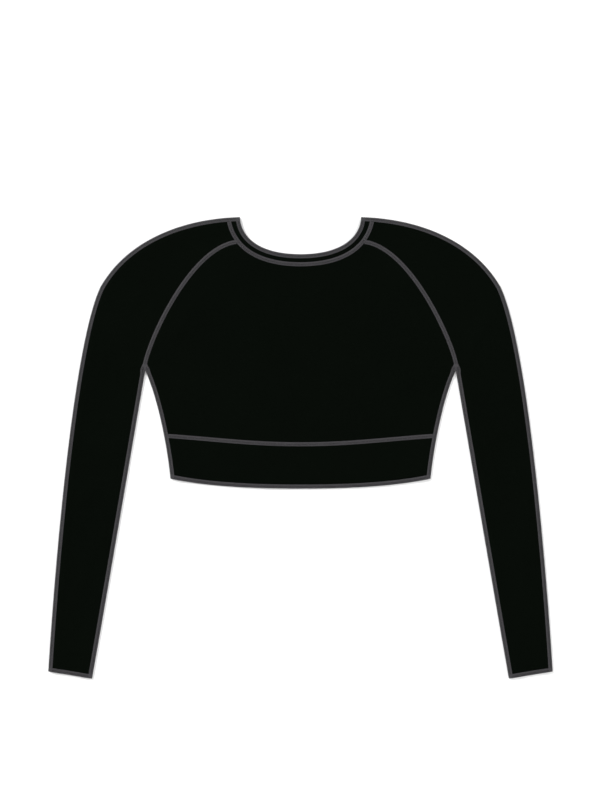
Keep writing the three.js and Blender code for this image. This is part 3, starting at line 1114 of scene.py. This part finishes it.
    def surface_grid(self, lines: Array, folds: tuple[Array, Array], ease: Array, outer: bool) -> Array:
        """Points of one surface of the wall, one row for each row line.

        Args:
            lines: The row lines.
            folds: How far the left and right sides have turned round a fold in each row.
            ease: How far the wall is thinned in each row, near a cut edge.
            outer: Whether this is the wall's outer surface.

        Returns:
            An array of rows, columns and x, y and z.
        """
        cut = 0.0 if outer else self.surface.sizes.thickness
        totals = np.array([lengths_along(line)[-1] for line in lines])
        near = np.broadcast_to(self.next_insets, (len(lines), len(self.next_insets)))
        left, right = (np.hstack([self.side_insets(cut, turned), near]) for turned in folds)
        begin = self.next_insets[-1]
        inner_count = max(int(round((totals.max() - 2.0 * begin) / self.cell)), 2)
        inner_shares = np.linspace(0.0, 1.0, inner_count + 1)[1:-1]
        middle = begin + (totals - 2.0 * begin)[:, None] * inner_shares
        insets = np.hstack([left, middle, totals[:, None] - right[:, ::-1]])
        points = np.array([points_at(line, row) for line, row in zip(lines, insets)])
        if self.mirror:
            points = points * np.array([-1.0, 1.0])
        count = len(self.turn_angles)
        turned, heights, eased = (np.zeros(insets.shape) for _ in range(3))
        for columns, side in zip((slice(0, count), slice(-1, -count - 1, -1)), folds):
            turned[:, columns] = side[:, None]
            heights[:, columns] = self.fold_heights(cut)
            eased[:, columns] = self.eased_shares
        eased = np.maximum(eased, ease[:, None])
        flat = self.surface.flat_height(self.layer, points.reshape(-1, 2)).reshape(insets.shape)
        depth = self.surface.sizes.thickness * (eased if outer else 1.0 - eased)
        flat = flat - self.layer.value * depth
        height = flat + (heights - flat) * turned
        return np.concatenate([points, height[..., None]], axis=2)

    def grain(self, grid: Array) -> Array:
        """Each point's place in the cloth's own grain, in metres."""
        angle = -self.grain_angle if self.mirror else self.grain_angle
        x, y = grid[..., 0], grid[..., 1]
        u = x * math.cos(angle) + y * math.sin(angle)
        v = y * math.cos(angle) - x * math.sin(angle)
        return np.stack([u, v], axis=-1)

    def measure_flat(self, grid: Array) -> None:
        """Works out the size and area of the flat cut, in its own grain."""
        placed = self.grain(grid).reshape(-1, 2)
        size = placed.max(axis=0) - placed.min(axis=0)
        rim = np.concatenate([grid[0], grid[1:, -1], grid[-1, -2::-1], grid[-2:0:-1, 0]])
        after = np.roll(rim, -1, axis=0)
        twice = (rim[:, 0] * after[:, 1] - after[:, 0] * rim[:, 1]).sum()
        self.flat = (round(float(size[0]), 3), round(float(size[1]), 3))
        self.flat_area = round(abs(float(twice)) / 2.0, 4)

    def build(self) -> bpy.types.Object:
        """Builds the piece's wall."""
        edges = self.edges()
        shares, ease = self.row_places(edges)
        lines = self.row_lines(edges, shares)
        length = lengths_along(edges.left)[-1]
        folds = (
            self.fold_shares(edges.left_fold_from, shares, length),
            self.fold_shares(edges.right_fold_from, shares, length),
        )
        outer = self.surface_grid(lines, folds, ease, True)
        inner = self.surface_grid(lines, folds, ease, False)
        above, below = (outer, inner) if self.layer is Layer.FRONT else (inner, outer)
        faces = wall_faces(*outer.shape[:2])
        if self.mirror:
            faces = faces[:, ::-1]
        grain = np.concatenate([self.grain(above).reshape(-1, 2), self.grain(below).reshape(-1, 2)])
        points = np.concatenate([above.reshape(-1, 3), below.reshape(-1, 3)])
        self.measure_flat(outer)
        self.object = mesh_object(f"{self.name}_cloth", points, faces, grain)
        return self.object

    def dress(self, finish: Material, rests_on: list[str], stitches: list[bpy.types.Object]) -> None:
        """Gives the piece its finish, hides the solid that it stands for, and logs the size of its cut.

        Args:
            finish: The jersey.
            rests_on: Names of what the piece lies on. Not used.
            stitches: The bands of stitching that are sewn on it. Not used.
        """
        put_on(self.object, finish)
        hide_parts(self.name)
        log.info("%s: cut %s m, %.4f square metres", self.name, self.flat, self.flat_area)


@dataclass
class BodyPiece(ClothPiece):
    """The front or the back, from the neck seam to the waist seam."""

    def edges(self) -> PieceEdges:
        """The piece's four edges."""
        pattern = self.surface.pattern
        right = join_lines(pattern.raglan(), pattern.side_parts()[0])
        fold_from = lengths_along(pattern.raglan())[-1] / lengths_along(right)[-1]
        top = across(pattern.neck_seam_parts()[1])
        bottom = across(pattern.waist())
        return PieceEdges(top, bottom, mirrored(right), right, fold_from, fold_from)


@dataclass
class SleevePiece(ClothPiece):
    """The front or back half of a sleeve, from the neck seam to the cuff."""

    def edges(self) -> PieceEdges:
        """The piece's four edges."""
        pattern = self.surface.pattern
        left = join_lines(pattern.raglan(), pattern.under_arm())
        fold_from = lengths_along(pattern.raglan())[-1] / lengths_along(left)[-1]
        top = pattern.neck_seam_parts()[0][::-1]
        right = pattern.over_arm_parts()[1]
        share = pattern.underarm_share
        return PieceEdges(top, pattern.cuff(), left, right, fold_from, 0.0, share)


@dataclass
class BandPiece(ClothPiece):
    """A band whose ends turn round folds, with its grain along its length."""

    def grain(self, grid: Array) -> Array:
        """Each point's place along the band and across it."""
        middle = grid[grid.shape[0] // 2]
        along = lengths_along(middle[:, :2]) - lengths_along(middle[:, :2])[-1] / 2.0
        downward = np.linalg.norm(np.diff(grid[..., :2], axis=0), axis=2)
        zero = np.zeros((1, grid.shape[1]))
        depth = np.concatenate([zero, np.cumsum(downward, axis=0)])
        return np.stack([np.broadcast_to(along, depth.shape), -depth], axis=-1)


@dataclass
class NeckbandPiece(BandPiece):
    """The front or back stretch of the neckband."""

    def edges(self) -> PieceEdges:
        """The piece's four edges."""
        pattern = self.surface.pattern
        top, bottom = across(pattern.neck_edge()), across(pattern.neck_seam())
        end = pattern.over_arm_parts()[0]
        return PieceEdges(top, bottom, mirrored(end), end, 0.0, 0.0)


@dataclass
class WaistbandPiece(BandPiece):
    """The front or back stretch of the waistband."""

    def edges(self) -> PieceEdges:
        """The piece's four edges."""
        pattern = self.surface.pattern
        end = pattern.side_parts()[1]
        top, bottom = across(pattern.waist()), across(pattern.hem())
        return PieceEdges(top, bottom, mirrored(end), end, 0.0, 0.0)


# Stitching


@dataclass(frozen=True)
class StitchSizes:
    """Sizes of the flat-seam stitch: crossing looper threads over rows of needle thread.

    Attributes:
        width: Width of the whole band.
        pitch: Length of one stitch.
        needle_rows: Where the rows of needle thread lie, as shares of the width.
        needle_width: Width of the needle thread.
        needle_height: Its height, pressed flat.
        needle_hole: How high it lies over the cloth where it goes in.
        needle_crest: How high it lies between two holes.
        looper_width: Width of the looper threads.
        looper_height: Their height, pressed flat.
        looper_foot: How high they lie at the band's sides.
        lower_crest: How high the lower one lies in the middle of the band.
        upper_crest: How high the upper one lies there.
        cross_share: Share of a stitch in which a looper thread crosses the band.
        turn_share: Share of a stitch in which it turns back at one side.
        pressed: How flat the stitches are on the layer that the top lies on, as a share.
    """

    width: float = 5.6 * MM
    pitch: float = 2.9 * MM
    needle_rows: tuple[float, ...] = (0.10, 0.37, 0.63, 0.90)
    needle_width: float = 0.52 * MM
    needle_height: float = 0.24 * MM
    needle_hole: float = -0.10 * MM
    needle_crest: float = 0.10 * MM
    looper_width: float = 0.60 * MM
    looper_height: float = 0.22 * MM
    looper_foot: float = 0.03 * MM
    lower_crest: float = 0.12 * MM
    upper_crest: float = 0.24 * MM
    cross_share: float = 0.41
    turn_share: float = 0.09
    pressed: float = 0.62


# Where the rings of a looper thread lie on one crossing, as shares of the band's width
CROSSINGS = {
    SeamKind.SEAM: (0.0, 0.5, 1.0),
    SeamKind.EDGE: (0.0, 0.09, 0.2, 0.6, 1.0),
    SeamKind.FOLD: (0.0, 0.16, 0.36, 0.68, 1.0),
}

# How far away along a line the points are that give its direction
NEAR = 0.5 * MM

# Corners of a thread's section: share of half its width to the side, share of its height
THREAD_SECTION = ((-1.0, 0.0), (-0.5, 1.0), (0.5, 1.0), (1.0, 0.0))


@dataclass
class StitchBand:
    """A band of flat-seam stitching along one seam, edge or fold.

    Attributes:
        name: The band's whole name.
        kind: How it sits on the cloth.
        layer: The layer that it is on.
        line: The line that it follows.
        inward: 1 if the cloth lies to the left of the line, and -1 if to its right.
        surface: The outer surface of the cloth.
        sizes: Sizes of the stitch.
        start_trim: How much of the line is left bare at its start.
        end_trim: How much is left bare at its end.
        lead: How much of the line comes before its fold starts to turn, if it has a start.
        rim_tuck: How far the band reaches down past the middle of an open edge.
        fold_gap: How far it stays from the middle of a fold.
    """

    name: str
    kind: SeamKind
    layer: Layer
    line: Array
    inward: int
    surface: ClothSurface
    sizes: StitchSizes = field(default_factory=StitchSizes)
    start_trim: float = 0.0
    end_trim: float = 0.0
    lead: float | None = None
    rim_tuck: float = 0.3 * MM
    fold_gap: float = 0.1 * MM

    def reach(self) -> tuple[float, float]:
        """Where the band starts and stops, measured over the cloth away from its line."""
        cloth = self.surface.sizes
        if self.kind is SeamKind.SEAM:
            return -self.sizes.width / 2.0, self.sizes.width / 2.0
        if self.kind is SeamKind.EDGE:
            round_rim = (math.pi / 2.0 - 1.0) * cloth.thickness / 2.0
            return -self.rim_tuck, self.sizes.width + round_rim
        round_fold = (math.pi / 2.0 - 1.0) * cloth.fold_radius
        return self.fold_gap, self.sizes.width + round_fold

    def place(self, along: Array, off: Array, lift: Array) -> tuple[Array, Array]:
        """Finds points over the cloth.

        Args:
            along: Distance along the line.
            off: Distance from the line, measured over the cloth.
            lift: Distance out from the cloth's surface.

        Returns:
            The points, and the direction away from the cloth at each.
        """
        cloth, side = self.surface.sizes, self.layer.value
        on_line = points_at(self.line, along)
        ahead = points_at(self.line, along + NEAR) - points_at(self.line, along - NEAR)
        ahead /= np.linalg.norm(ahead, axis=1)[:, None]
        inward = self.inward * np.column_stack([-ahead[:, 1], ahead[:, 0]])
        up = np.zeros((len(along), 3))
        if self.kind is SeamKind.SEAM:
            plan = on_line + inward * off[:, None]
            height = self.surface.outer_height(self.layer, plan) + side * lift
            up[:, 2] = side
            return np.column_stack([plan, height]), up
        if self.kind is SeamKind.FOLD:
            radius, drop = cloth.fold_radius, cloth.fold_drop(self.layer)
        else:
            radius = drop = cloth.thickness / 2.0
        angle = np.clip(off / radius, -math.pi / 4.0, math.pi / 2.0)
        past = np.maximum(off - radius * math.pi / 2.0, 0.0)
        inset = radius + past - (radius + lift) * np.cos(angle)
        plan = on_line + inward * inset[:, None]
        rest = on_line + inward * np.maximum(inset, radius)[:, None]
        flat = self.surface.outer_height(self.layer, rest)
        if self.kind is SeamKind.FOLD:
            centre = np.where(past > 0.0, flat - side * drop, cloth.fold_centre)
        else:
            centre = flat - side * drop
        height = centre + side * (drop + lift) * np.sin(angle)
        up[:, :2] = -inward * np.cos(angle)[:, None]
        up[:, 2] = side * np.sin(angle)
        if self.lead is not None:
            turned = smooth_step((along - self.lead) / cloth.fold_run)[:, None]
            plan = turned * plan + (1.0 - turned) * (on_line + inward * off[:, None])
            laid = self.surface.outer_height(self.layer, plan) + side * lift
            wholly = turned[:, 0] ** 3
            height = wholly * height + (1.0 - wholly) * laid
            up = turned * up + (1.0 - turned) * np.array([0.0, 0.0, side])
            up /= np.linalg.norm(up, axis=1)[:, None]
        return np.column_stack([plan, height]), up

    def thread(self, along: Array, off: Array, lift: Array, width: float, height: float) -> Tube:
        """Builds one thread as a flattened tube with closed ends.

        Args:
            along: Distance along the band's line, for each ring.
            off: Distance across the band, for each ring.
            lift: Distance of the thread's underside from the cloth.
            width: The thread's width.
            height: The thread's height.

        Returns:
            The tube's points, faces and map.
        """
        centre, up = self.place(along, off, lift)
        forward = np.gradient(centre, axis=0)
        aside = np.cross(forward, up)
        aside /= np.linalg.norm(aside, axis=1)[:, None]
        count, corners = len(centre), len(THREAD_SECTION)
        section = np.array(THREAD_SECTION)
        ring = centre[:, None] + aside[:, None] * (section[:, 0] * width / 2.0)[None, :, None]
        ring = ring + up[:, None] * (section[:, 1] * height)[None, :, None]
        numbers = np.arange(count * corners).reshape(count, corners)
        onward = np.roll(numbers, -1, axis=1)
        sides = np.stack([numbers[:-1], onward[:-1], onward[1:], numbers[1:]], axis=-1)
        caps = np.array([numbers[0, [0, 3, 2, 1]], numbers[-1]])
        faces = np.vstack([sides.reshape(-1, corners), caps])
        length = np.repeat(lengths_along(centre), corners)
        around = np.tile(np.arange(corners) / corners, count)
        return ring.reshape(-1, 3), faces, np.column_stack([length, around])

    def stitches(self) -> tuple[int, float]:
        """How many stitches the band has, and how long each is."""
        total = lengths_along(self.line)[-1] - self.start_trim - self.end_trim
        count = max(int(round(total / self.sizes.pitch)), 1)
        return count, total / count

    def flatness(self) -> float:
        """How flat the stitches are on the band's layer, as a share."""
        return 1.0 if self.layer is Layer.FRONT else self.sizes.pressed

    def needle_threads(self) -> list[Tube]:
        """Builds the rows of needle thread, which go down into the cloth once a stitch."""
        sizes, pressed = self.sizes, self.flatness()
        low, high = self.reach()
        count, pitch = self.stitches()
        halves = np.arange(2 * count + 1)
        along = self.start_trim + halves / 2.0 * pitch
        crest = np.where(halves % 2 == 1, sizes.needle_crest, sizes.needle_hole)
        height = sizes.needle_height * pressed
        threads = []
        for share in sizes.needle_rows:
            off = np.full(len(halves), low + (high - low) * share)
            threads.append(self.thread(along, off, crest * pressed, sizes.needle_width, height))
        return threads

    def looper_threads(self) -> list[Tube]:
        """Builds the two looper threads, which cross the band and turn back once a stitch."""
        sizes, pressed = self.sizes, self.flatness()
        low, high = self.reach()
        count, pitch = self.stitches()
        rings = np.array(CROSSINGS[self.kind])
        height = sizes.looper_height * pressed
        threads = []
        for out, top in ((rings, sizes.lower_crest), (rings[::-1], sizes.upper_crest)):
            there = sizes.turn_share / 2.0 + sizes.cross_share * np.abs(out - out[0])
            once = np.concatenate([there, 0.5 + there[-1] + there[0] - there[::-1]])
            steps = (np.arange(count)[:, None] + once[None]).ravel()
            along = self.start_trim + steps * pitch
            aside = np.tile(np.concatenate([out, out[::-1]]), count)
            off = low + (high - low) * aside
            lift = sizes.looper_foot + (top - sizes.looper_foot) * np.sin(aside * math.pi)
            threads.append(self.thread(along, off, lift * pressed, sizes.looper_width, height))
        return threads

    def build(self) -> bpy.types.Object:
        """Builds all the band's threads as one mesh."""
        points, faces, grain, first = [], [], [], 0
        threads = self.needle_threads() + self.looper_threads()
        for thread_points, thread_faces, thread_grain in threads:
            points.append(thread_points)
            faces.append(thread_faces + first)
            grain.append(thread_grain)
            first += len(thread_points)
        return mesh_object(self.name, np.vstack(points), np.vstack(faces), np.vstack(grain))


@dataclass
class Sewing:
    """Every band of stitching on one layer of the top.

    Attributes:
        layer: The layer.
        surface: The outer surface of the cloth.
        finish: The thread.
        turn: How much of a seam is left bare where it meets a band at a fold or a seam.
        corner: How much of a fold is left bare at an open edge.
        lead: How far before the underarm the raglan seam's band gives way to those of the folds.
        lead_aside: How far beside the seam their lines start, which centres both bands on it.
        lead_steps: How many steps each lead-in is divided into.
    """

    layer: Layer
    surface: ClothSurface
    finish: Material
    turn: float = 5.8 * MM
    corner: float = 0.3 * MM
    lead: float = 8.0 * MM
    lead_aside: float = 3.3 * MM
    lead_steps: int = 12

    def band(
        self,
        name: str,
        kind: SeamKind,
        line: Array,
        inward: int,
        trims: Point = (0.0, 0.0),
        lead: float | None = None,
    ) -> bpy.types.Object:
        """Builds and dresses one band.

        Args:
            name: The band's name, without its layer.
            kind: How the band sits on the cloth.
            line: The line it follows.
            inward: 1 if the cloth lies to the left of the line, and -1 if to its right.
            trims: How much of the line is left bare at its start and at its end.
            lead: How much of the line comes before its fold starts to turn, if it has a start.

        Returns:
            The band's object.
        """
        whole = f"{name}_stitching_{self.layer.word}"
        start, end = trims
        band = StitchBand(
            whole, kind, self.layer, line, inward, self.surface,
            start_trim=start, end_trim=end, lead=lead,
        )
        made = band.build()
        put_on(made, self.finish)
        log.info("%s: %d faces", whole, len(made.data.polygons))
        return made

    def led_in(self, line: Array, side: int) -> tuple[Array, float]:
        """Leads a fold's line in from where the raglan seam's band stops.

        Args:
            line: The fold's line, which starts at the underarm.
            side: 1 if the lead-in starts on the sleeve's side of the seam, and -1 if on the body's.

        Returns:
            The whole line, and how much of it comes before the fold.
        """
        seam = self.surface.pattern.raglan()
        stop = lengths_along(seam)[-1] - self.lead
        before, begin = points_at(seam, np.array([stop - NEAR, stop]))
        ahead = (begin - before) / np.linalg.norm(begin - before)
        start = begin + side * self.lead_aside * np.array([-ahead[1], ahead[0]])
        onward = (line[1] - line[0]) / np.linalg.norm(line[1] - line[0])
        hold = self.lead / 3.0
        handles = (start + hold * ahead, line[0] - hold * onward)
        lead = bezier_line((start, *handles, line[0]), self.lead_steps)
        return join_lines(lead, line), lengths_along(lead)[-1]

    def neckband(self) -> list[bpy.types.Object]:
        """The bands on the neckband: its open edge and its seam."""
        pattern = self.surface.pattern
        edge, seam = across(pattern.neck_edge()), across(pattern.neck_seam())
        return [
            self.band("neck_edge", SeamKind.EDGE, edge, -1),
            self.band("neck_seam", SeamKind.SEAM, seam, -1, (self.turn, self.turn)),
        ]

    def waistband(self) -> list[bpy.types.Object]:
        """The bands on the waistband: its seam and its open edge."""
        pattern = self.surface.pattern
        seam, edge = across(pattern.waist()), across(pattern.hem())
        return [
            self.band("waist_seam", SeamKind.SEAM, seam, 1, (self.turn, self.turn)),
            self.band("hem_edge", SeamKind.EDGE, edge, 1),
        ]

    def body(self) -> list[bpy.types.Object]:
        """The bands at the body's sides."""
        pattern = self.surface.pattern
        side, lead = self.led_in(pattern.side(), 1)
        trims = (0.0, self.corner)
        return [
            self.band("side_right", SeamKind.FOLD, side, -1, trims, lead),
            self.band("side_left", SeamKind.FOLD, mirrored(side), 1, trims, lead),
        ]

    def sleeve(self, hand: Hand) -> list[bpy.types.Object]:
        """The bands on one sleeve: raglan seam, over-arm and underarm folds, and cuff."""
        pattern = self.surface.pattern
        raglan, over = pattern.raglan(), pattern.over_arm()
        under, lead = self.led_in(pattern.under_arm(), -1)
        cuff = pattern.cuff()
        turn = hand.value
        if hand is Hand.LEFT:
            raglan, over, under, cuff = (mirrored(line) for line in (raglan, over, under, cuff))
        word = hand.word
        return [
            self.band(f"raglan_{word}", SeamKind.SEAM, raglan, turn, (0.5 * self.turn, self.lead)),
            self.band(f"over_arm_{word}", SeamKind.FOLD, over, -turn, (self.corner, self.corner)),
            self.band(f"under_arm_{word}", SeamKind.FOLD, under, turn, (0.0, self.corner), lead),
            self.band(f"cuff_edge_{word}", SeamKind.EDGE, cuff, turn),
        ]


# The whole top and its studio


@dataclass
class CropTop:
    """The cropped top: ten pieces of cloth and the stitching that holds them."""

    surface: ClothSurface
    jersey: Material
    thread: Material
    front_cell: float = 3.0 * MM
    back_cell: float = 6.0 * MM

    def piece(self, kind: type, name: str, layer: Layer, **settings: object) -> ClothPiece:
        """Builds one cut piece."""
        cell = self.front_cell if layer is Layer.FRONT else self.back_cell
        made = kind(name, layer, self.surface, cell, **settings)
        made.build()
        return made

    def build_layer(self, layer: Layer) -> None:
        """Builds one layer of the top, and dresses it."""
        sewing = Sewing(layer, self.surface, self.thread)
        word = layer.word
        under = Layer.BACK.word

        def lies_on(other: str) -> list[str]:
            """What a piece of this layer lies on."""
            return [other] if layer is Layer.FRONT else ["floor"]

        body = self.piece(BodyPiece, f"{word}_body", layer)
        body.dress(self.jersey, lies_on(f"{under}_body"), sewing.body())
        neckband = self.piece(NeckbandPiece, f"neckband_{word}", layer)
        neckband.dress(self.jersey, lies_on(f"neckband_{under}"), sewing.neckband())
        waistband = self.piece(WaistbandPiece, f"hem_band_{word}", layer)
        waistband.dress(self.jersey, lies_on(f"hem_band_{under}"), sewing.waistband())
        grain = self.surface.pattern.sleeve_grain()
        for hand in Hand:
            mirror = hand is Hand.LEFT
            name = f"{word}_sleeve_{hand.word}"
            sleeve = self.piece(SleevePiece, name, layer, mirror=mirror, grain_angle=grain)
            sleeve.dress(self.jersey, lies_on(f"{under}_sleeve_{hand.word}"), sewing.sleeve(hand))

    def build(self) -> None:
        """Builds both layers."""
        for layer in (Layer.BACK, Layer.FRONT):
            self.build_layer(layer)


@dataclass(frozen=True)
class Lamp:
    """One large soft light.

    Attributes:
        name: The light's name.
        place: Where it stands.
        width: The side of its square face.
        power: Its power in watts.
    """

    name: str
    place: tuple[float, float, float]
    width: float
    power: float


@dataclass
class Studio:
    """A plain pale floor, soft light, and a camera straight above the top."""

    floor_size: float = 40.0
    floor_drop: float = 0.05 * MM
    lens: float = 100.0
    sensor: float = 36.0
    picture_height: float = 1.127
    picture_centre_y: float = 0.0635
    top_height: float = 3.0 * MM
    sky_low: float = 1.0
    sky_high: float = 0.35
    lamps: tuple[Lamp, ...] = (
        Lamp("key light", (-5.75, 4.75, 5.25), 3.75, 750.0),
        Lamp("fill light", (5.5, 0.75, 5.5), 5.0, 250.0),
        Lamp("low light", (0.75, -6.0, 4.25), 5.0, 150.0),
    )

    def build_floor(self, finish: Material) -> None:
        """Lays the floor just under the top."""
        bpy.ops.object.select_all(action="DESELECT")
        bpy.ops.mesh.primitive_plane_add(size=self.floor_size, location=(0.0, 0.0, -self.floor_drop))
        floor = bpy.context.object
        floor.name = "floor"
        floor.data.materials.append(finish)

    def build_lamps(self) -> None:
        """Hangs the lights, each turned towards the top."""
        for lamp in self.lamps:
            bpy.ops.object.light_add(type="AREA", location=lamp.place)
            light = bpy.context.object
            light.name = lamp.name
            light.data.size = lamp.width
            light.data.energy = lamp.power
            light.visible_camera = False
            away = light.location.copy()
            light.rotation_euler = away.to_track_quat("Z", "Y").to_euler()

    def build_sky(self) -> None:
        """Fills the room with white light, brightest low down."""
        world = bpy.data.worlds.new("white room")
        bpy.context.scene.world = world
        world.use_nodes = True
        background = world.node_tree.nodes["Background"]
        background.inputs["Color"].default_value = (1.0, 1.0, 1.0, 1.0)
        nodes = Nodes(world.node_tree)
        direction = nodes.add("ShaderNodeTexCoord")
        up = nodes.maths("ABSOLUTE", nodes.split(direction.outputs["Generated"])[2])
        strength = nodes.maths("MULTIPLY_ADD", up, self.sky_high - self.sky_low, self.sky_low)
        nodes.feed(background.inputs["Strength"], strength)

    def build_camera(self) -> None:
        """Puts the camera straight above, at the picture's scale."""
        distance = self.picture_height * self.lens / self.sensor
        place = (0.0, self.picture_centre_y, self.top_height + distance)
        bpy.ops.object.camera_add(location=place, rotation=(0.0, 0.0, 0.0))
        camera = bpy.context.object
        camera.data.lens = self.lens
        camera.data.sensor_width = self.sensor
        bpy.context.scene.camera = camera

    def build(self) -> None:
        """Builds the studio."""
        scene = bpy.context.scene
        scene.view_settings.view_transform = "Standard"
        self.build_floor(FloorFinish().build())
        self.build_lamps()
        self.build_sky()
        self.build_camera()


def main() -> None:
    """Builds the studio and the top, and notes their sizes."""
    logging.basicConfig(level=logging.INFO, format="%(name)s: %(message)s")
    Studio().build()
    surface = ClothSurface(Pattern(), ClothSizes())
    jersey = JerseyFinish().build(knit_group())
    thread = ThreadFinish().build()
    CropTop(surface, jersey, thread).build()
    meshes = [item.data for item in bpy.data.objects if item.type == "MESH"]
    made = [mesh for mesh in meshes if GRAIN_MAP in mesh.uv_layers]
    triangles = sum(len(mesh.loops) - 2 * len(mesh.polygons) for mesh in made)
    log.info("%d pieces, %d triangles", len(made), triangles)


if __name__ == "__main__":
    main()
